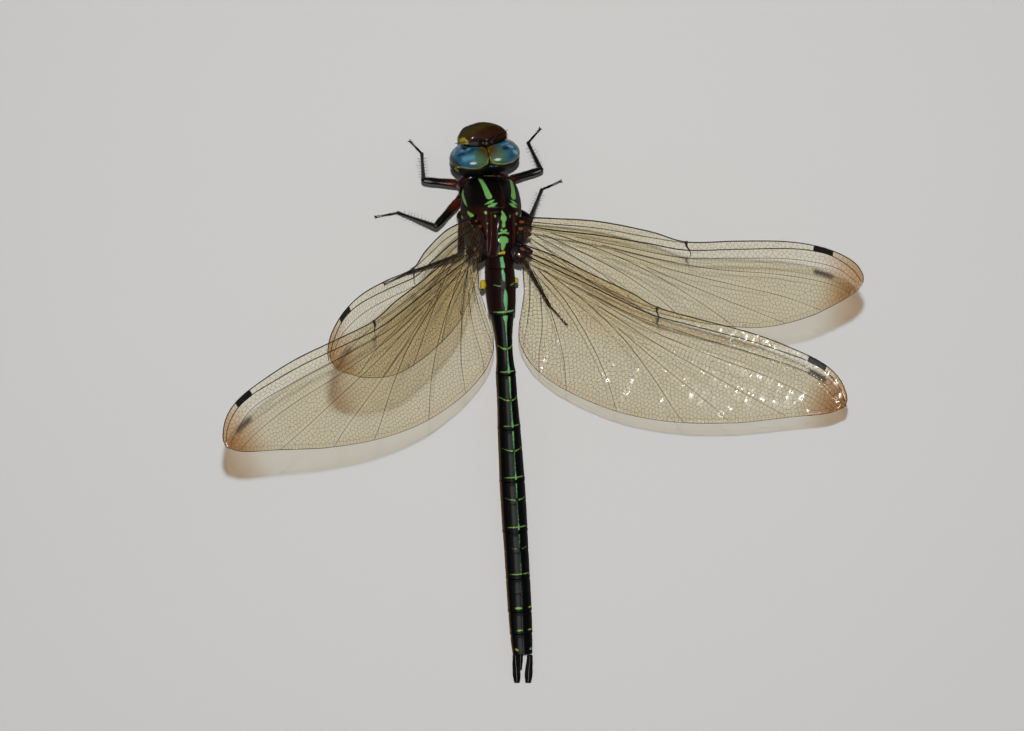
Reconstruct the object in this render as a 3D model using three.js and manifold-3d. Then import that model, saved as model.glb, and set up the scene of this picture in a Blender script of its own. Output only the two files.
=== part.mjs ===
// A swamp darner, one of the largest North American dragonflies: an adult male at life size,
// resting on the floor on its six feet and the end of its abdomen, with its wings half raised.
// Millimetres. +X is to the animal's right, +Y is towards its head and +Z is up.
// The pose frame has its origin on the floor under the middle of the thorax.

import * as THREE from 'three';
import { mergeVertices } from 'three/addons/utils/BufferGeometryUtils.js';
import Module from 'manifold-3d';

const manifold = await Module();
manifold.setup();

// ---------------------------------------------------------------- driving dimensions

const GAP = 0.3; // left between pieces that touch
const FLOOR = 0; // the level of the feet's flats

// the pose frame's shift that brings the origin to the middle of the whole animal's footprint
const SHIFT = new THREE.Vector3(-7.9, 28.3, 0);

const THORAX_HEIGHT = 7.5; // of the middle of the thorax over the floor
const BODY_ROLL = 18.5; // degrees that the thorax and abdomen lean to the animal's right

const HEAD_PLACE = new THREE.Vector3(-1.0, 10.6, 7.9);
const HEAD_YAW = 5; // degrees to the left
const HEAD_PITCH = 20; // degrees, face up
const HEAD_ROLL = 13; // degrees to the right

const EYE_CENTRE = new THREE.Vector3(1.95, -0.35, 0.3);
const EYE_RADII = new THREE.Vector3(3.5, 2.25, 3.6);
const EYE_RIM = -0.9; // the eyes end here, and the black rear of the head begins

const ABDOMEN_START = new THREE.Vector3(1.35, -6.25, 9.6);
const ABDOMEN_END = new THREE.Vector3(4.8, -66.8, 1.0);
const ABDOMEN_SAG = 1.5; // how much faster it comes down at its base than along a straight line

const WING_THICKNESS = 0.5;
const WING_ROOT = 0.9; // the solid wing starts this far out from its hinge
const WING_STATIONS = 24;
const WING_END = 0.985; // the part of the span where the solid blade stops, before it thins out
const WING_CHORD_CELLS = 5;

const KNEE_ROOM = 0.8; // each leg piece stops this far short of the middle of the knee
const CLAW_THICKNESS = 0.5;

// ---------------------------------------------------------------- materials

function shell(color, roughness = 0.3, metalness = 0) {
  return new THREE.MeshStandardMaterial({ color, roughness, metalness });
}

const materials = {
  thorax: shell(0x2a1410),
  abdomen: shell(0x0c0f12, 0.22),
  abdomenBase: shell(0x24110c, 0.28),
  eye: shell(0x2f7fa6, 0.12),
  face: shell(0x3a1d0f, 0.2),
  clypeus: shell(0x6b6426, 0.3),
  leg: shell(0x120c0a, 0.25),
  femur: shell(0x3a1610, 0.28),
  wing: shell(0xa08a5a, 0.2),
};

// ---------------------------------------------------------------- shapes

const rad = THREE.MathUtils.degToRad;

// A closed geometry from vertices and triangles, turned so that its faces point outwards.
function closedGeometry(points, triangles) {
  let volume = 0;
  for (const [a, b, c] of triangles) {
    volume += points[a].dot(new THREE.Vector3().crossVectors(points[b], points[c]));
  }
  const outward = volume > 0 ? triangles : triangles.map(([a, b, c]) => [a, c, b]);
  const geometry = new THREE.BufferGeometry();
  geometry.setFromPoints(points);
  geometry.setIndex(outward.flat());
  geometry.computeVertexNormals();
  return geometry;
}

// A closed surface through rings of points, each with as many points, capped at both ends.
function loft(rings) {
  const count = rings[0].length;
  const points = rings.flat();
  const triangles = [];
  for (let ring = 0; ring + 1 < rings.length; ring++) {
    for (let i = 0; i < count; i++) {
      const a = ring * count + i;
      const b = ring * count + ((i + 1) % count);
      triangles.push([a, b, b + count], [a, b + count, a + count]);
    }
  }
  const middle = (ring) => {
    const sum = new THREE.Vector3();
    ring.forEach((point) => sum.add(point));
    return sum.divideScalar(count);
  };
  const first = points.push(middle(rings[0])) - 1;
  const last = points.push(middle(rings[rings.length - 1])) - 1;
  const start = (rings.length - 1) * count;
  for (let i = 0; i < count; i++) {
    const next = (i + 1) % count;
    triangles.push([first, next, i], [last, start + i, start + next]);
  }
  return closedGeometry(points, triangles);
}

// The outline of a cross-section, as [across, up] pairs. Its upper and lower halves each have
// their own height and squareness: 2 is an ellipse, more is boxier and less is more pointed.
function crossSection({ half, top, bottom, upper = 2, lower = 2, sides = 16 }) {
  const outline = [];
  for (let i = 0; i < sides; i++) {
    const angle = (2 * Math.PI * (i + 0.5)) / sides;
    const power = 2 / (Math.sin(angle) > 0 ? upper : lower);
    const across = Math.sign(Math.cos(angle)) * Math.abs(Math.cos(angle)) ** power;
    const up = Math.abs(Math.sin(angle)) ** power;
    outline.push([half * across, Math.sin(angle) > 0 ? top * up : bottom * up]);
  }
  return outline;
}

// Cross-sections at stations along +Y, as a loft. rise is the height of a section's widest place.
function bodyAlongY(stations) {
  return loft(
    stations.map((station) => {
      const { y, rise = 0 } = station;
      return crossSection(station).map(([x, z]) => new THREE.Vector3(x, y, rise + z));
    }),
  );
}

// A tube through centres with a radius at each. Its cross-section keeps a flat side down.
function limb(centres, radii, sides = 8) {
  const up = new THREE.Vector3(0, 0, 1);
  const rings = centres.map((centre, i) => {
    const before = centres[Math.max(i - 1, 0)];
    const after = centres[Math.min(i + 1, centres.length - 1)];
    const along = after.clone().sub(before).normalize();
    const side = new THREE.Vector3().crossVectors(along, up).normalize();
    const over = new THREE.Vector3().crossVectors(side, along);
    return crossSection({ half: radii[i], top: radii[i], bottom: -radii[i], sides }).map(([x, z]) => {
      return centre.clone().addScaledVector(side, x).addScaledVector(over, z);
    });
  });
  return loft(rings);
}

// Presses what would sink into the floor flat onto it.
function standOnFloor(geometry) {
  const place = geometry.attributes.position;
  for (let i = 0; i < place.count; i++) {
    place.setZ(i, Math.max(place.getZ(i), FLOOR));
  }
  return geometry;
}

function ellipsoid(centre, radii, around = 24, down = 16) {
  const geometry = new THREE.SphereGeometry(1, around, down);
  geometry.rotateX(Math.PI / 2);
  geometry.scale(radii.x, radii.y, radii.z);
  geometry.translate(centre.x, centre.y, centre.z);
  return geometry;
}

function solidOf(geometry) {
  const bare = geometry.clone();
  bare.deleteAttribute('normal');
  bare.deleteAttribute('uv');
  const merged = mergeVertices(bare, 1e-4);
  return new manifold.Manifold(
    new manifold.Mesh({
      numProp: 3,
      vertProperties: new Float32Array(merged.attributes.position.array),
      triVerts: new Uint32Array(merged.index.array),
    }),
  );
}

function geometryOf(solid) {
  const mesh = solid.getMesh();
  const geometry = new THREE.BufferGeometry();
  const values = [];
  for (let i = 0; i < mesh.numVert; i++) {
    const start = i * mesh.numProp;
    values.push(...mesh.vertProperties.slice(start, start + 3));
  }
  geometry.setAttribute('position', new THREE.Float32BufferAttribute(values, 3));
  geometry.setIndex(Array.from(mesh.triVerts));
  geometry.computeVertexNormals();
  return geometry;
}

function named(name, geometry, material) {
  const mesh = new THREE.Mesh(geometry, material);
  mesh.name = name;
  return mesh;
}

// Values between the stations of a table, along a smooth curve through them.
function smoothBetween(stations, steps) {
  const keys = Object.keys(stations[0]);
  const rows = [];
  for (let i = 0; i + 1 < stations.length; i++) {
    for (let step = 0; step < steps; step++) {
      rows.push(between(stations, keys, i, step / steps));
    }
  }
  rows.push({ ...stations[stations.length - 1] });
  return rows;
}

function between(stations, keys, i, part) {
  const at = (k) => stations[THREE.MathUtils.clamp(k, 0, stations.length - 1)];
  const row = {};
  for (const key of keys) {
    const slopeIn = (at(i + 1)[key] - at(i - 1)[key]) / 2;
    const slopeOut = (at(i + 2)[key] - at(i)[key]) / 2;
    const start = at(i)[key];
    const end = at(i + 1)[key];
    const square = part * part;
    const cube = square * part;
    row[key] =
      start * (2 * cube - 3 * square + 1) +
      slopeIn * (cube - 2 * square + part) +
      end * (3 * square - 2 * cube) +
      slopeOut * (cube - square);
  }
  return row;
}

// ---------------------------------------------------------------- thorax

// The wing-bearing box of the thorax. Its front slopes up and back to the crest before the
// wings, its back between the wings is nearly flat, and it narrows below to where the legs sit.
function synthorax() {
  const stations = smoothBetween(
    [
      { y: 6.7, half: 2.6, top: 1.0, bottom: -3.3, upper: 2.2, lower: 1.9 },
      { y: 6.1, half: 3.7, top: 2.4, bottom: -4.4, upper: 2.1, lower: 1.8 },
      { y: 4.8, half: 4.35, top: 3.9, bottom: -5.1, upper: 2.0, lower: 1.7 },
      { y: 2.7, half: 4.65, top: 5.2, bottom: -5.3, upper: 2.0, lower: 1.7 },
      { y: 0.6, half: 4.55, top: 5.1, bottom: -5.2, upper: 2.2, lower: 1.7 },
      { y: -2.2, half: 4.2, top: 5.3, bottom: -4.7, upper: 2.2, lower: 1.7 },
      { y: -4.4, half: 3.5, top: 5.1, bottom: -3.0, upper: 2.1, lower: 1.8 },
      { y: -5.7, half: 2.6, top: 4.7, bottom: -0.6, upper: 2.0, lower: 2.0 },
    ],
    2,
  );
  return bodyAlongY(stations.map((station) => ({ ...station, sides: 20 })));
}

// The small plate-backed segment that carries the head on a short neck.
function prothorax() {
  const stations = [
    { y: 8.4, rise: -3.3, half: 0.8, top: 0.5, bottom: -0.7 },
    { y: 8.1, rise: -3.1, half: 1.4, top: 0.9, bottom: -1.1 },
    { y: 7.6, rise: -2.9, half: 1.9, top: 1.3, bottom: -1.4 },
    { y: 7.0, rise: -2.6, half: 1.9, top: 1.4, bottom: -1.4 },
  ];
  return bodyAlongY(stations.map((station) => ({ ...station, sides: 14 })));
}

// A point of the thorax in the pose frame, from its place across, along and over the middle.
function thoraxPoint(across, along, over) {
  const point = new THREE.Vector3(across, along, over);
  point.applyAxisAngle(new THREE.Vector3(0, 1, 0), rad(BODY_ROLL));
  return point.add(new THREE.Vector3(0, 0, THORAX_HEIGHT));
}

function thorax() {
  const group = new THREE.Group();
  group.position.z = THORAX_HEIGHT;
  group.rotation.y = rad(BODY_ROLL);
  group.add(named('synthorax', synthorax(), materials.thorax));
  group.add(named('prothorax', prothorax(), materials.thorax));
  return group;
}

// ---------------------------------------------------------------- head

// The black rear of the head, a shallow bowl that carries on the round of the eyes.
function headRear() {
  const stations = smoothBetween(
    [
      { y: EYE_RIM - GAP, half: 5.4, top: 3.7, bottom: -3.2, upper: 2.3, lower: 2.2 },
      { y: -1.9, half: 5.25, top: 3.35, bottom: -2.9, upper: 2.3, lower: 2.2 },
      { y: -2.6, half: 4.75, top: 2.7, bottom: -2.4, upper: 2.2, lower: 2.2 },
      { y: -3.05, half: 3.7, top: 1.9, bottom: -1.6, upper: 2.0, lower: 2.0 },
    ],
    2,
  );
  return bodyAlongY(stations.map((station) => ({ ...station, sides: 26 })));
}

// A shape built level by level. Each level has its half width, how far forward its widest place
// is, and its front and its back.
function bodyByLevels(levels, sides, frontSquareness) {
  return loft(
    levels.map(({ z, half, widest, front, back }) => {
      const outline = crossSection({
        half,
        top: front - widest,
        bottom: back - widest,
        upper: frontSquareness,
        sides,
      });
      return outline.map(([x, y]) => new THREE.Vector3(x, widest + y, z));
    }),
  );
}

// The frons and the clypeus below it, a bulging mask across the front of the head, with the
// vertex that stands between the feelers on its upper edge.
function face() {
  const mask = bodyByLevels(
    smoothBetween(
      [
        { z: 2.05, half: 1.9, widest: 2.1, front: 3.1, back: 1.5 },
        { z: 1.75, half: 3.1, widest: 2.2, front: 4.0, back: 1.3 },
        { z: 1.1, half: 3.6, widest: 2.4, front: 4.6, back: 1.1 },
        { z: 0.1, half: 3.8, widest: 2.4, front: 4.75, back: 0.9 },
        { z: -0.9, half: 3.8, widest: 2.3, front: 4.6, back: 0.8 },
        { z: -1.9, half: 3.5, widest: 2.2, front: 4.3, back: 0.7 },
        { z: -2.6, half: 2.8, widest: 2.1, front: 3.9, back: 0.7 },
      ],
      2,
    ),
    22,
    1.6,
  );
  const vertex = ellipsoid(new THREE.Vector3(0, 2.15, 2.3), new THREE.Vector3(0.75, 0.75, 0.85), 12, 8);
  return solidOf(mask).add(solidOf(vertex));
}

// The upper lip, with the jaws and the lower lip behind it.
function jaws() {
  const levels = [
    { z: -2.9, half: 2.6, widest: 1.2, front: 3.7, back: -0.5 },
    { z: -3.4, half: 2.6, widest: 1.1, front: 3.5, back: -0.6 },
    { z: -3.9, half: 2.2, widest: 1.0, front: 2.9, back: -0.4 },
    { z: -4.3, half: 1.4, widest: 0.9, front: 2.2, back: 0.1 },
  ];
  return bodyByLevels(levels, 18, 2.1);
}

// A solid a little larger all round, which keeps its neighbours clear of it.
function grown(solid, by) {
  const { min, max } = solid.boundingBox();
  const middle = [0, 1, 2].map((axis) => (min[axis] + max[axis]) / 2);
  const scale = [0, 1, 2].map((axis) => 1 + (2 * by) / (max[axis] - min[axis]));
  return solid.translate(middle.map((value) => -value)).scale(scale).translate(middle);
}

// A compound eye: a ball that meets the other eye at the middle of the head and ends at the
// rim behind, with the face and the jaws let into it.
function eye(side, keepClear) {
  const centre = EYE_CENTRE.clone();
  centre.x *= side;
  const ball = solidOf(ellipsoid(centre, EYE_RADII, 22, 14));
  const size = 20;
  const room = new THREE.BoxGeometry(size, size, size);
  room.translate((side * (size + GAP)) / 2, size / 2 + EYE_RIM, 0);
  return geometryOf(ball.intersect(solidOf(room)).subtract(keepClear));
}

// A feeler, from the side of the vertex out over the edge of the face to its tip.
function antenna(side, tip) {
  const root = new THREE.Vector3(side * 1.1, 2.75, 2.55);
  const bend = new THREE.Vector3(side * 1.5, 3.1, 2.9);
  return limb([root, bend, bend.clone().lerp(tip, 0.5), tip], [0.3, 0.3, 0.26, 0.25], 7);
}

function head() {
  const group = new THREE.Group();
  group.position.copy(HEAD_PLACE);
  group.rotation.set(rad(HEAD_PITCH), rad(HEAD_ROLL), rad(HEAD_YAW), 'ZXY');
  const mask = face();
  const mouth = jaws();
  const keepClear = grown(mask, GAP).add(grown(solidOf(mouth), GAP));
  group.add(named('head', headRear(), materials.thorax));
  group.add(named('face', geometryOf(mask), materials.face));
  group.add(named('jaws', mouth, materials.clypeus));
  for (const [name, side, tip] of [
    ['left', -1, new THREE.Vector3(-5.0, 4.2, 2.6)],
    ['right', 1, new THREE.Vector3(3.1, 4.2, 4.1)],
  ]) {
    group.add(named(`eye_${name}`, eye(side, keepClear), materials.eye));
    group.add(named(`antenna_${name}`, antenna(side, tip), materials.leg));
  }
  return group;
}

// ---------------------------------------------------------------- abdomen

// Each ring of the abdomen: its length, then the half width and the half height at its
// start, middle and end. The second ring is swollen and the third is drawn in to a waist.
const ABDOMEN_RINGS = [
  { length: 1.7, half: [1.9, 2.1, 2.15], high: [2.2, 2.4, 2.5] },
  { length: 6.1, half: [2.15, 2.25, 1.95], high: [2.55, 2.6, 1.95] },
  { length: 9.3, half: [1.8, 1.27, 1.55], high: [1.8, 1.3, 1.5] },
  { length: 8.4, half: [1.55, 1.6, 1.78], high: [1.5, 1.5, 1.62] },
  { length: 8.1, half: [1.78, 1.88, 1.97], high: [1.62, 1.65, 1.7] },
  { length: 7.9, half: [1.97, 1.98, 1.95], high: [1.7, 1.7, 1.68] },
  { length: 7.3, half: [1.93, 1.9, 1.88], high: [1.66, 1.6, 1.55] },
  { length: 5.2, half: [1.88, 1.85, 1.8], high: [1.52, 1.45, 1.4] },
  { length: 3.5, half: [1.78, 1.74, 1.66], high: [1.38, 1.32, 1.25] },
  { length: 3.3, half: [1.62, 1.55, 1.4], high: [1.22, 1.15, 1.0] },
];
const ABDOMEN_LENGTH = ABDOMEN_RINGS.reduce((sum, ring) => sum + ring.length, 0);

// The middle of the abdomen, at a part of its length from its base.
function abdomenCentre(part) {
  const centre = ABDOMEN_START.clone().lerp(ABDOMEN_END, part);
  const fall = 1 - Math.max(1 - part, 0) ** ABDOMEN_SAG;
  centre.z = THREE.MathUtils.lerp(ABDOMEN_START.z, ABDOMEN_END.z, fall);
  return centre;
}

// A cross-section of the abdomen, upright to its course and rolled with the body.
function abdomenRing(part, half, high, sides) {
  const centre = abdomenCentre(part);
  const along = abdomenCentre(part - 0.01).sub(abdomenCentre(part + 0.01)).normalize();
  const up = new THREE.Vector3(0, 0, 1).applyAxisAngle(along, rad(BODY_ROLL));
  const side = new THREE.Vector3().crossVectors(along, up).normalize();
  const over = new THREE.Vector3().crossVectors(side, along);
  const outline = crossSection({ half, top: high, bottom: -high * 0.92, upper: 1.9, lower: 2.3, sides });
  return outline.map(([x, z]) => centre.clone().addScaledVector(side, x).addScaledVector(over, z));
}

function threePointCurve([start, middle, end], part) {
  const before = (1 - part) * (1 - 2 * part);
  const between = 4 * part * (1 - part);
  const after = part * (2 * part - 1);
  return start * before + middle * between + end * after;
}

function abdomen() {
  const group = new THREE.Group();
  let travelled = 0;
  ABDOMEN_RINGS.forEach(({ length, half, high }, index) => {
    const steps = Math.max(2, Math.round(length / 1.6));
    const rings = [];
    for (let step = 0; step <= steps; step++) {
      const inside = step / steps;
      const from = travelled + GAP / 2 + (length - GAP) * inside;
      const across = threePointCurve(half, inside);
      const upright = threePointCurve(high, inside);
      rings.push(abdomenRing(from / ABDOMEN_LENGTH, across, upright, 16));
    }
    travelled += length;
    const name = `abdomen_${String(index + 1).padStart(2, '0')}`;
    const material = index < 2 ? materials.abdomenBase : materials.abdomen;
    group.add(named(name, standOnFloor(loft(rings)), material));
  });
  return group;
}

// The pair of paddle-shaped claspers, and the shorter plate that lies under and between them.
function claspers() {
  const group = new THREE.Group();
  const end = ABDOMEN_END;
  const course = new THREE.Vector3(0.06, -1, 0).normalize();
  const plate = (side, length, offsets, halves, thickness, drop) => {
    const across = new THREE.Vector3(1, 0.06, 0).normalize();
    const rings = offsets.map((offset, i) => {
      const part = i / (offsets.length - 1);
      const centre = end.clone().addScaledVector(course, GAP + length * part);
      centre.addScaledVector(across, side * offset);
      centre.z += drop * part;
      const outline = crossSection({ half: halves[i], top: thickness, bottom: -thickness, sides: 10 });
      return outline.map(([x, z]) => {
        return centre.clone().addScaledVector(across, x).add(new THREE.Vector3(0, 0, z));
      });
    });
    return standOnFloor(loft(rings));
  };
  for (const [name, side] of [['left', -1], ['right', 1]]) {
    const offsets = [0.85, 0.95, 1.0, 1.02, 0.98];
    const halves = [0.34, 0.42, 0.62, 0.6, 0.28];
    group.add(named(`cercus_${name}`, plate(side, 4.2, offsets, halves, 0.32, -0.75), materials.leg));
  }
  const under = plate(1, 2.0, [0, 0, 0], [0.28, 0.27, 0.25], 0.25, -0.4);
  under.translate(0, 0, -0.1);
  group.add(named('epiproct', under, materials.leg));
  return group;
}

// ---------------------------------------------------------------- wings

// The outlines, from the hinge to the tip, as [out, forward]: out along the span and forward
// across it. The front edge dips at the node, where the thick outer veins meet.
const FORE_WING = {
  span: 58,
  front: [[0, 1.0], [5, 1.5], [13, 2.1], [22, 1.8], [28.4, 1.1], [37, 2.4],
    [45, 3.4], [51, 3.3], [55.5, 2.2], [57.6, 0.6], [58, -0.8]],
  rear: [[0, -2.2], [2.5, -3.3], [6, -4.6], [12, -7.0], [20, -9.3], [30, -10.3], [38, -10.1],
    [44, -9.2], [50, -6.9], [54.5, -4.2], [57.1, -2.2], [58, -0.8]],
};
const HIND_WING = {
  span: 55,
  front: [[0, 1.0], [5, 1.3], [12, 1.0], [18, 0.9], [23, 0.5], [30, 1.5],
    [38, 2.8], [45, 3.2], [49.5, 3.0], [52.6, 1.9], [54.6, 0], [55, -1.5]],
  rear: [[0, -0.9], [2.6, -5.5], [4.6, -11.4], [7, -14.1], [11, -15.9], [17, -16.6], [25, -16.1],
    [33, -14], [41, -10.5], [48, -6.4], [53, -3.5], [55, -1.5]],
};
const FORE_HINGE = { across: 3.5, along: -0.3, over: 3.9 };
const HIND_HINGE = { across: 3.5, along: -4.4, over: 3.6 };

// How each wing is held, in degrees: swept back, raised, its front edge tilted up at the
// hinge, and how much that tilt grows to the tip. arch is how far mid-span bows up, in mm.
const WINGS = {
  wing_fore_right: {
    outline: FORE_WING, hinge: FORE_HINGE, side: 1, sweep: 10.5, raise: 30.4, tilt: 12, twist: -9, arch: 0,
  },
  wing_hind_right: {
    outline: HIND_WING, hinge: HIND_HINGE, side: 1, sweep: 24.5, raise: 10.5, tilt: -3.5, twist: 2.5, arch: 3,
  },
  wing_hind_left: {
    outline: HIND_WING, hinge: HIND_HINGE, side: -1, sweep: 38, raise: 34, tilt: 11.5, twist: -2, arch: 1.4,
  },
  wing_fore_left: {
    outline: FORE_WING, hinge: FORE_HINGE, side: -1, sweep: 45.9, raise: 60.7, tilt: 13.5, twist: 22.5, arch: 2.1,
  },
};

// A point of a wing, from its place out along the span, forward across it and over the blade.
function wingPoint(wing, out, forward, over) {
  const { side, sweep, raise, tilt, twist, arch, hinge, outline } = wing;
  const level = Math.cos(rad(raise));
  const span = new THREE.Vector3(
    side * level * Math.cos(rad(sweep)),
    -level * Math.sin(rad(sweep)),
    Math.sin(rad(raise)),
  );
  const ahead = new THREE.Vector3(side * Math.sin(rad(sweep)), Math.cos(rad(sweep)), 0);
  const above = new THREE.Vector3().crossVectors(span, ahead).multiplyScalar(side);
  const part = out / outline.span;
  const angle = rad(tilt + twist * part);
  const bow = 4 * arch * part * (1 - part);
  const turnedAhead = ahead.clone().multiplyScalar(Math.cos(angle)).addScaledVector(above, Math.sin(angle));
  const turnedAbove = above.clone().multiplyScalar(Math.cos(angle)).addScaledVector(ahead, -Math.sin(angle));
  return thoraxPoint(side * hinge.across, hinge.along, hinge.over)
    .addScaledVector(span, out)
    .addScaledVector(turnedAhead, forward)
    .addScaledVector(above, bow * Math.cos(rad(tilt)))
    .addScaledVector(turnedAbove, over);
}

// A blade of even thickness between the two edges, a ring of points at each station.
function wingBlade(wing) {
  const curve = (points) => new THREE.SplineCurve(points.map(([x, y]) => new THREE.Vector2(x, y)));
  const front = curve(wing.outline.front);
  const rear = curve(wing.outline.rear);
  const rings = [];
  for (let station = 0; station <= WING_STATIONS; station++) {
    const part = WING_END * (station / WING_STATIONS);
    const ahead = front.getPoint(part);
    const behind = rear.getPoint(part);
    const start = WING_ROOT * (1 - part);
    const blade = [];
    for (let cell = 0; cell <= WING_CHORD_CELLS; cell++) {
      blade.push(ahead.clone().lerp(behind, cell / WING_CHORD_CELLS));
    }
    const face = (over) => blade.map((at) => wingPoint(wing, at.x + start, at.y, over));
    rings.push([...face(WING_THICKNESS / 2), ...face(-WING_THICKNESS / 2).reverse()]);
  }
  return loft(rings);
}

function wings() {
  const group = new THREE.Group();
  for (const [name, wing] of Object.entries(WINGS)) {
    group.add(named(name, wingBlade(wing), materials.wing));
  }
  return group;
}

// ---------------------------------------------------------------- legs

// Each leg's hip on the thorax, and its knee, ankle and claw in the pose frame. The claw is
// on the floor, and so is most of the foot.
const LEGS = {
  fore_left: { hip: [-2.0, 5.9, -4.9], knee: [-10.3, 6.5, 5.2], ankle: [-10.7, 10.9, 0.75], claw: [-12.5, 12.8, 0.2] },
  mid_left: { hip: [-2.8, 4.2, -4.9], knee: [-8.4, -0.6, 6.4], ankle: [-14.4, 1.7, 0.75], claw: [-17.8, 1.1, 0.2] },
  hind_left: { hip: [-2.8, 0.8, -5.15], knee: [-4.6, -5.0, 7.0], ankle: [-12.9, -7.7, 0.75], claw: [-16.4, -9.3, 0.2] },
  fore_right: { hip: [2.0, 5.9, -4.9], knee: [7.8, 8.15, 4.6], ankle: [5.8, 12.6, 0.75], claw: [7.6, 14.7, 0.2] },
  mid_right: { hip: [2.5, 4.0, -5.8], knee: [6.1, 0.6, 5.6], ankle: [7.9, 5.3, 0.75], claw: [10.8, 6.6, 0.2] },
  hind_right: { hip: [2.6, 0.8, -5.2], knee: [5.3, -6.1, 5.0], ankle: [9.1, -12.7, 0.75], claw: [11.7, -15.6, 0.2] },
};

function stretch(from, to, parts) {
  return parts.map((part) => from.clone().lerp(to, part));
}

// The point that lies a given way back from `to` on the line from `from`.
function shortOf(from, to, by) {
  return to.clone().addScaledVector(to.clone().sub(from).normalize(), -by);
}

function legs() {
  const group = new THREE.Group();
  for (const [name, leg] of Object.entries(LEGS)) {
    const hip = thoraxPoint(...leg.hip);
    const knee = new THREE.Vector3(...leg.knee);
    const ankle = new THREE.Vector3(...leg.ankle);
    const claw = new THREE.Vector3(...leg.claw);
    const kneeEnd = shortOf(hip, knee, KNEE_ROOM);
    const shin = shortOf(ankle, knee, KNEE_ROOM);
    const shinEnd = shortOf(knee, ankle, 0.35);
    const foot = shortOf(claw, ankle, 0.35);
    const femur = limb(stretch(hip, kneeEnd, [0, 0.12, 0.25, 0.6, 1]), [0.55, 0.7, 0.68, 0.58, 0.46]);
    const tibia = limb(stretch(shin, shinEnd, [0, 0.1, 0.55, 1]), [0.34, 0.36, 0.3, 0.27]);
    const sole = claw.clone().lerp(foot, 0.55);
    sole.z = claw.z;
    const tarsus = limb([foot, sole, claw], [0.27, 0.27, CLAW_THICKNESS / 2], 8);
    group.add(named(`femur_${name}`, femur, materials.femur));
    group.add(named(`tibia_${name}`, tibia, materials.leg));
    group.add(named(`tarsus_${name}`, standOnFloor(tarsus), materials.leg));
  }
  return group;
}

// ---------------------------------------------------------------- the whole animal

const dragonfly = new THREE.Group();
dragonfly.position.copy(SHIFT);
dragonfly.add(head(), thorax(), abdomen(), claspers(), wings(), legs());

export default dragonfly;
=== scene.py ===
import math
from collections import namedtuple

import bpy
import numpy as np
from mathutils import Matrix, Vector
from mathutils.geometry import delaunay_2d_cdt


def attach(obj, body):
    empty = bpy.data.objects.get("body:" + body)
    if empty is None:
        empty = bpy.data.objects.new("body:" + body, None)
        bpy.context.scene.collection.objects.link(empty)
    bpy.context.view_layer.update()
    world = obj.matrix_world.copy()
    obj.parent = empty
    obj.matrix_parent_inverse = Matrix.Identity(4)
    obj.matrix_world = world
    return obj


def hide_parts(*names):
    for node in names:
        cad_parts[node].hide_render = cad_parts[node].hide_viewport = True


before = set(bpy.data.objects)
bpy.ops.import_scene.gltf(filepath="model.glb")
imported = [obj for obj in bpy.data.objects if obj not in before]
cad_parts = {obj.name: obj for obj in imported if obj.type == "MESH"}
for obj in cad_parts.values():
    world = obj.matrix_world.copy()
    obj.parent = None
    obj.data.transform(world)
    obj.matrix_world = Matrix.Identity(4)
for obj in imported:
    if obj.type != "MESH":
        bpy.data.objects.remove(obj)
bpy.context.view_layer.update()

# ------------------------------------------------------------------------------------------
# Floor, camera and lights
# A plain pale floor, a camera straight above the animal, a small round key light just ahead of
# the lens, two broad soft ones to fill the shadows, and a reflector that only polish shows.

MM = 0.001
CAMERA_PLACE = (-0.0046, 0.0063, 0.5)
FRAME_WIDTH = 0.1592  # of floor that the camera sees
SENSOR = 36.0  # millimetres, as Blender takes it
FLOOR_SIZE, FLOOR_LEVEL = 3, -0.00002
LIGHTS = {  # each one's place, width and power
    "key": ((-0.0046, 0.053, 0.5), 0.01, 2.3),
    "reflector": ((0.02, -0.24, 0.44), 0.3, 3.2),
    "fill_left": ((-1.0, -0.2, 1.1), 0.8, 0.62),
    "fill_right": ((1.0, 0.6, 1.2), 0.8, 0.62),
}
SKY_STRENGTH = 0.085

rng = np.random.default_rng(7)


def linear(hex_colour):
    """An sRGB hex colour as the linear values that shaders take."""
    parts = [int(hex_colour[i : i + 2], 16) / 255 for i in (0, 2, 4)]
    return (*(c / 12.92 if c <= 0.04045 else ((c + 0.055) / 1.055) ** 2.4 for c in parts), 1.0)


def add(tree, kind, values):
    """Adds a shader node. Each value is a setting, or a node or socket to link from."""
    node = tree.nodes.new(f"ShaderNode{kind}")
    for key, value in values.items():
        if isinstance(value, bpy.types.Node):
            value = value.outputs[0]
        if isinstance(value, bpy.types.NodeSocket):
            tree.links.new(value, node.inputs[key])
        elif isinstance(key, int) or key in node.inputs:
            node.inputs[key].default_value = value
        else:
            setattr(node, key, value)
    return node


def new_material(name):
    """An empty node material and its tree."""
    material = bpy.data.materials.new(name)
    material.use_nodes = True
    material.node_tree.nodes.clear()
    return material, material.node_tree


def even_material(name, colour, values):
    """A material that is the same all over."""
    material, tree = new_material(name)
    shader = add(tree, "BsdfPrincipled", {"Base Color": linear(colour), **values})
    add(tree, "OutputMaterial", {0: shader})
    return material


bpy.ops.mesh.primitive_plane_add(size=FLOOR_SIZE, location=(0, 0, FLOOR_LEVEL))
floor = bpy.context.object
floor.name = "floor"
floor.data.materials.append(even_material("matt_backdrop_paper", "c4c3c1", {"Roughness": 0.9}))

lens = bpy.data.cameras.new("camera")
lens.sensor_width = SENSOR
lens.lens = SENSOR * CAMERA_PLACE[2] / FRAME_WIDTH
camera = bpy.data.objects.new("camera", lens)
camera.location = CAMERA_PLACE
bpy.context.scene.collection.objects.link(camera)
bpy.context.scene.camera = camera

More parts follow.
